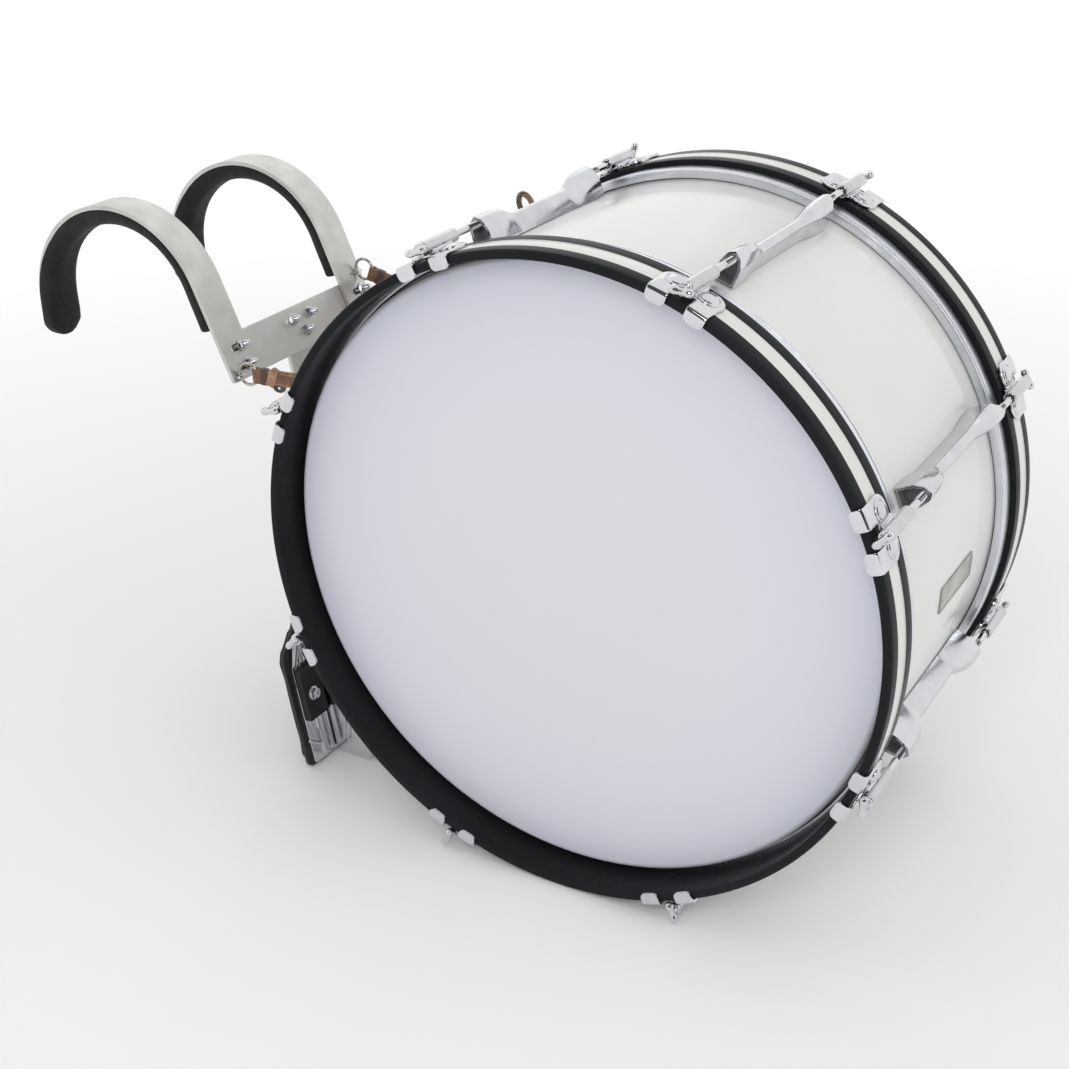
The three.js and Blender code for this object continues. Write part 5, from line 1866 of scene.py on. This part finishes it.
@dataclass
class Tie:
    """One ring, leather strap and snap hook between a shoulder bar and a T-rod."""

    side: Side
    ring_x: float
    ring_rise: float
    snap_x: float
    rod: tuple[float, float] = (-279.474, 115.761)
    ring_off: float = 16.8
    ring: float = 10.5
    wire: float = 1.5
    width: float = 14.0
    leather: float = 2.4
    snap_length: float = 16.0
    snap_squeeze: float = 0.42
    hook: tuple[float, float] = (3.675, 6.675)
    keeper: tuple[float, float] = (4.5, 3.7)
    collar: tuple[float, float] = (4.2, 3.3)
    stitch_pitch: float = 3.2

    @property
    def centre(self) -> Vector:
        """The ring's middle."""
        return CARRIER.at(self.ring_x, self.ring_rise, self.ring_off)

    @property
    def along(self) -> Vector:
        """The direction from the ring to the rod, in the Y-Z plane."""
        gap = Vector((0, self.rod[0], self.rod[1])) - Vector((0, *self.centre.yz))
        return gap.normalized()

    @property
    def across(self) -> Vector:
        """The direction square to the strap, in the Y-Z plane."""
        return Vector((0, self.along.z, -self.along.y))

    @property
    def rod_at(self) -> float:
        """The distance from the ring's middle to the rod."""
        return (Vector(self.rod) - self.centre.yz).length

    @property
    def place(self) -> Matrix:
        """Takes a mesh drawn as (along, x, across) to the tie."""
        return Matrix.Translation((0, *self.centre.yz)) @ axes(self.along, ALONG_X, self.across)

    def build(self, coats: Palette) -> None:
        """Makes the ring, the strap and the snap hook."""
        self.hoop_ring(coats)
        self.strap(coats)
        self.snap(coats)

    def hoop_ring(self, coats: Palette) -> None:
        """The wire ring in its staple."""
        bm = turned(ringed(self.wire, 14, 0.0, self.ring), 56)
        bmesh.ops.translate(bm, vec=self.centre, verts=bm.verts)
        name = f"{self.side.value}_ring"
        hand_over(bm, name, shoulder_body(self.side).value, [coats.nickel], [name],
                  weighted=False)

    def band(self, length: float, eye: float) -> BMesh:
        """The doubled band, folded round both its eyes.

        Args:
            length: The distance between the eyes.
            eye: The outer radius of each eye.

        Returns:
            The band, drawn along X.
        """
        outline: list[Corner] = []
        for turn, where in ((90, 0.0), (-90, length)):
            for i in range(9):
                angle = math.radians(turn + 180 * i / 8)
                outline.append((where + eye * math.cos(angle), eye * math.sin(angle)))
            waist = eye + 3.0 if where == 0.0 else -(eye + 3.0)
            sign = -1 if where == 0.0 else 1
            outline.append((where + waist, sign * self.leather, 4.0))
            outline.append(((length - eye - 3.0) if where == 0.0 else (eye + 3.0),
                            sign * self.leather, 4.0))
        holes = [ringed(self.wire + 0.5, 16, where) for where in (0.0, length)]
        return plate(outline, -self.width / 2, self.width / 2, holes, edge=0.7, rings=2)

    def stitches(self, bm: BMesh, length: float, eye: float) -> None:
        """Sews two rows of stitches through the band, as coat 2."""
        for row in (-1, 1):
            for face in (-1, 1):
                for i in range(int((length - 2 * eye - 6) / self.stitch_pitch)):
                    stitch = turned([(-1.15, 0), (-1.0, 0.42, 0.3), (1.0, 0.42, 0.3), (1.15, 0)],
                                    8, 2)
                    spot = (eye + 4.5 + self.stitch_pitch * i, face * (self.leather + 0.05),
                            row * (self.width / 2 - 1.7))
                    join(bm, stitch, Matrix.Translation(spot), 2)

    def strap(self, coats: Palette) -> None:
        """The doubled leather band, stitched, with a tan keeper and a dark buckle loop."""
        start = Vector((self.ring, self.ring_x))
        run = Vector((self.rod_at - self.snap_length, self.snap_x)) - start
        length, half = run.length, self.width / 2
        eye = self.wire + 0.5 + self.leather
        bm = self.band(length, eye)
        self.stitches(bm, length, eye)
        reach, rise = self.keeper
        keeper = plate(panel((-reach, -rise), (reach, rise), 1.2), -half - 1.6, half + 1.6,
                       edge=0.9, rings=3)
        lean = Matrix.Translation((length * 0.34, 0, 0)) @ Matrix.Rotation(
            math.radians(-27), 4, "Y")
        join(bm, keeper, lean, 1)
        reach, rise = self.collar
        collar = plate(panel((-reach, -rise), (reach, rise), 1.4), -half - 0.7, half + 0.7,
                       edge=0.8, rings=3)
        join(bm, collar, Matrix.Translation((eye + 4.6, 0, 0)), 4)
        loop = plate([(0, 0, 2), (17, -1.5, 4), (12, 7.5, 3.5), (2.5, 7.0, 3)], -1.2, 1.2,
                     [[(4.5, 2.2, 1), (9.5, 1.8, 1), (8.6, 4.9, 1), (5.2, 4.7, 1)]], edge=0.6,
                     rings=3)
        hang = axes(ALONG_X, ALONG_Z, -ALONG_Y)
        join(bm, loop, Matrix.Translation((length * 0.3, 0, half - 0.6)) @ hang, 3)
        basis = Matrix.Translation((start.x, start.y, 0)) @ Matrix.Rotation(
            math.atan2(run.y, run.x), 4, "Z")
        laid(bm, self.place @ basis)
        if self.place.to_3x3().determinant() < 0:
            bmesh.ops.reverse_faces(bm, faces=bm.faces)
        name = f"{self.side.value}_strap"
        leathers = [coats.hide, coats.tan, coats.thread, coats.bronzed, coats.dark_hide]
        piece = hand_over(bm, name, "", leathers, [name], crease=45, weighted=False)
        near = self.place @ Vector((self.rod_at - self.snap_length - 2, self.snap_x, 0))
        far = self.place @ Vector((self.ring + 2, self.ring_x, 0))
        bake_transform(piece)

    def snap(self, coats: Palette) -> None:
        """The snap hook: an eye for the strap, a neck and a hook round the T-rod."""
        bar, rod = self.rod_at - self.snap_length, self.rod_at
        eye = panel((bar + 1.2, -7.5), (bar + 5.7, 7.5), 1.5)
        inner, outer = self.hook
        hook = [(rod + outer * math.cos(math.radians(a)), outer * math.sin(math.radians(a)))
                for a in range(-150, 151, 15)]
        outline: list[Corner] = [(bar - 1.2, -10.5, 2.0), (bar + 5.7, -10.5, 2.0),
                                 (bar + 8.7, -3.5, 1.5), *hook, (bar + 8.7, 3.5, 1.5),
                                 (bar + 5.7, 10.5, 2.0), (bar - 1.2, 10.5, 2.0)]
        bm = plate(outline, -2.0, 2.0, [eye, ringed(inner, 24, rod)], edge=1.0, rings=3,
                   segments=5)
        lever = turned([(-4.2, 0), (-4.2, 1.3, 0.5), (-1.8, 0.9, 0.3), (0, 0.9), (0, 0)], 16)
        join(bm, lever, Matrix.Translation((rod - 5.5, -5.6, 0)) @ Matrix.Rotation(
            math.radians(-120), 4, "Z"))

        def thin(p: Vector) -> Vector:
            """Thins the bar that the strap is folded round."""
            strap_bar = p.x < bar + 1.6 and abs(p.y) < 8
            return Vector((p.x, p.y, p.z * self.snap_squeeze)) if strap_bar else p

        pressed(bm, thin)
        basis = axes(self.along, self.across, ALONG_X)
        laid(bm, Matrix.Translation((self.snap_x, *self.centre.yz)) @ basis)
        name = f"{self.side.value}_snap_hook"
        hand_over(tidied(bm), name, Body.DRUM.value, [coats.chrome], [name])


# The studio


@dataclass
class Studio:
    """The camera of the photograph, the floor and plain soft light."""

    eye: tuple[float, float, float] = (1.2584, 0.788116, 0.94937)
    right: tuple[float, float, float] = (-0.50486, 0.86290, -0.02245)
    up: tuple[float, float, float] = (-0.38408, -0.20127, 0.90109)
    back: tuple[float, float, float] = (0.77304, 0.46355, 0.43304)
    lens: float = 57.18
    sensor: float = 36.0
    sky: float = 0.82
    room: float = 0.07
    room_spread: tuple[float, float] = (0.50, 0.74)
    aim: tuple[float, float, float] = (0.0, 0.1, 0.3)
    lamps: tuple[tuple[tuple[float, float, float], float, float], ...] = (
        ((1.95, 0.85, 1.75), 0.8, 11.0), ((0.4, 2.8, 1.9), 1.8, 4.0),
        ((-2.2, -1.4, 1.8), 2.0, 3.0))
    floor_half: float = 30.0
    floor_drop: float = 0.0005

    def camera(self) -> None:
        """Sets the camera where the photograph was taken."""
        data = bpy.data.cameras.new("photo_camera")
        data.lens, data.sensor_width, data.sensor_fit = self.lens, self.sensor, "AUTO"
        data.clip_start, data.clip_end = 0.01, 50.0
        camera = bpy.data.objects.new("photo_camera", data)
        basis = axes(self.right, self.up, self.back)
        camera.matrix_world = Matrix.Translation(self.eye) @ basis
        bpy.context.scene.collection.objects.link(camera)
        bpy.context.scene.camera = camera
        bpy.context.scene.view_settings.view_transform = "Standard"

    def light(self) -> None:
        """A white world that eyes and gloss see, with softer light on surfaces, and lamps.

        Gloss also sees the unlit end of the studio, so that plated parts look like metal.
        """
        world = bpy.data.worlds.new("studio")
        bpy.context.scene.world = world
        world.use_nodes = True
        nodes, links = world.node_tree.nodes, world.node_tree.links
        soft = nodes["Background"]
        soft.inputs["Color"].default_value = (1, 1, 1, 1)
        soft.inputs["Strength"].default_value = self.sky
        seen = nodes.new("ShaderNodeBackground")
        seen.inputs["Color"].default_value = (1, 1, 1, 1)
        links.new(self.unlit_end(nodes, links), seen.inputs["Strength"])
        share = nodes.new("ShaderNodeMixShader")
        links.new(seen_directly(nodes, links), share.inputs[0])
        links.new(soft.outputs[0], share.inputs[1])
        links.new(seen.outputs[0], share.inputs[2])
        links.new(share.outputs[0], nodes["World Output"].inputs["Surface"])
        for number, (spot, size, power) in enumerate(self.lamps, 1):
            data = bpy.data.lights.new(f"softbox_{number}", "AREA")
            data.size, data.energy = size, power
            lamp = bpy.data.objects.new(f"softbox_{number}", data)
            lamp.location = spot
            lamp.rotation_mode = "QUATERNION"
            ray = Vector(spot) - Vector(self.aim)
            lamp.rotation_quaternion = ray.to_track_quat("Z", "Y")
            bpy.context.scene.collection.objects.link(lamp)

    def unlit_end(self, nodes: bpy.types.Nodes, links: bpy.types.NodeLinks) -> Socket:
        """The background's strength: 1, but low for gloss that looks back into the studio.

        Args:
            nodes: The world's nodes.
            links: The world's links.

        Returns:
            The strength.
        """
        towards = nodes.new("ShaderNodeVectorMath")
        towards.operation = "DOT_PRODUCT"
        links.new(nodes.new("ShaderNodeTexCoord").outputs["Generated"], towards.inputs[0])
        towards.inputs[1].default_value = self.back
        shade = nodes.new("ShaderNodeMapRange")
        shade.interpolation_type = "SMOOTHSTEP"
        links.new(towards.outputs["Value"], shade.inputs["Value"])
        for socket, value in zip(("From Min", "From Max", "To Min", "To Max"),
                                 (*self.room_spread, 0.0, 1.0 - self.room)):
            shade.inputs[socket].default_value = value
        for_gloss = nodes.new("ShaderNodeMath")
        for_gloss.operation = "MULTIPLY"
        links.new(shade.outputs["Result"], for_gloss.inputs[0])
        links.new(nodes.new("ShaderNodeLightPath").outputs["Is Glossy Ray"], for_gloss.inputs[1])
        strength = nodes.new("ShaderNodeMath")
        strength.operation = "SUBTRACT"
        strength.inputs[0].default_value = 1.0
        links.new(for_gloss.outputs[0], strength.inputs[1])
        return strength.outputs[0]

    def floor(self, coats: Palette) -> None:
        """The pale floor."""
        bm = bmesh.new()
        bmesh.ops.create_grid(bm, x_segments=4, y_segments=4, size=self.floor_half)
        bmesh.ops.translate(bm, vec=(0, 0, -self.floor_drop), verts=bm.verts)
        mesh = bpy.data.meshes.new("floor")
        bm.to_mesh(mesh)
        bm.free()
        mesh.materials.append(coats.floor)
        thing = bpy.data.objects.new("floor", mesh)
        bpy.context.scene.collection.objects.link(thing)


def main() -> None:
    """Builds the whole drum round the frame."""
    logging.basicConfig(level=logging.INFO, format="%(message)s")
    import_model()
    studio = Studio()
    studio.camera()
    coats = Palette()
    studio.light()
    studio.floor(coats)
    assemblies = [Shell(), SlingRing(), Heads(), CounterHoops(), Lugs(), Claws(), TRods(),
                  Crossbar(), Upright(), ShoulderBars(), BellyPlate(), DrumBracket(),
                  Tie(Side.RIGHT, 116.5, -22.0, 113.6), Tie(Side.LEFT, -97.0, 22.0, -113.6)]
    for assembly in assemblies:
        log.info("building %s", type(assembly).__name__)
        assembly.build(coats)


if __name__ == "__main__":
    main()
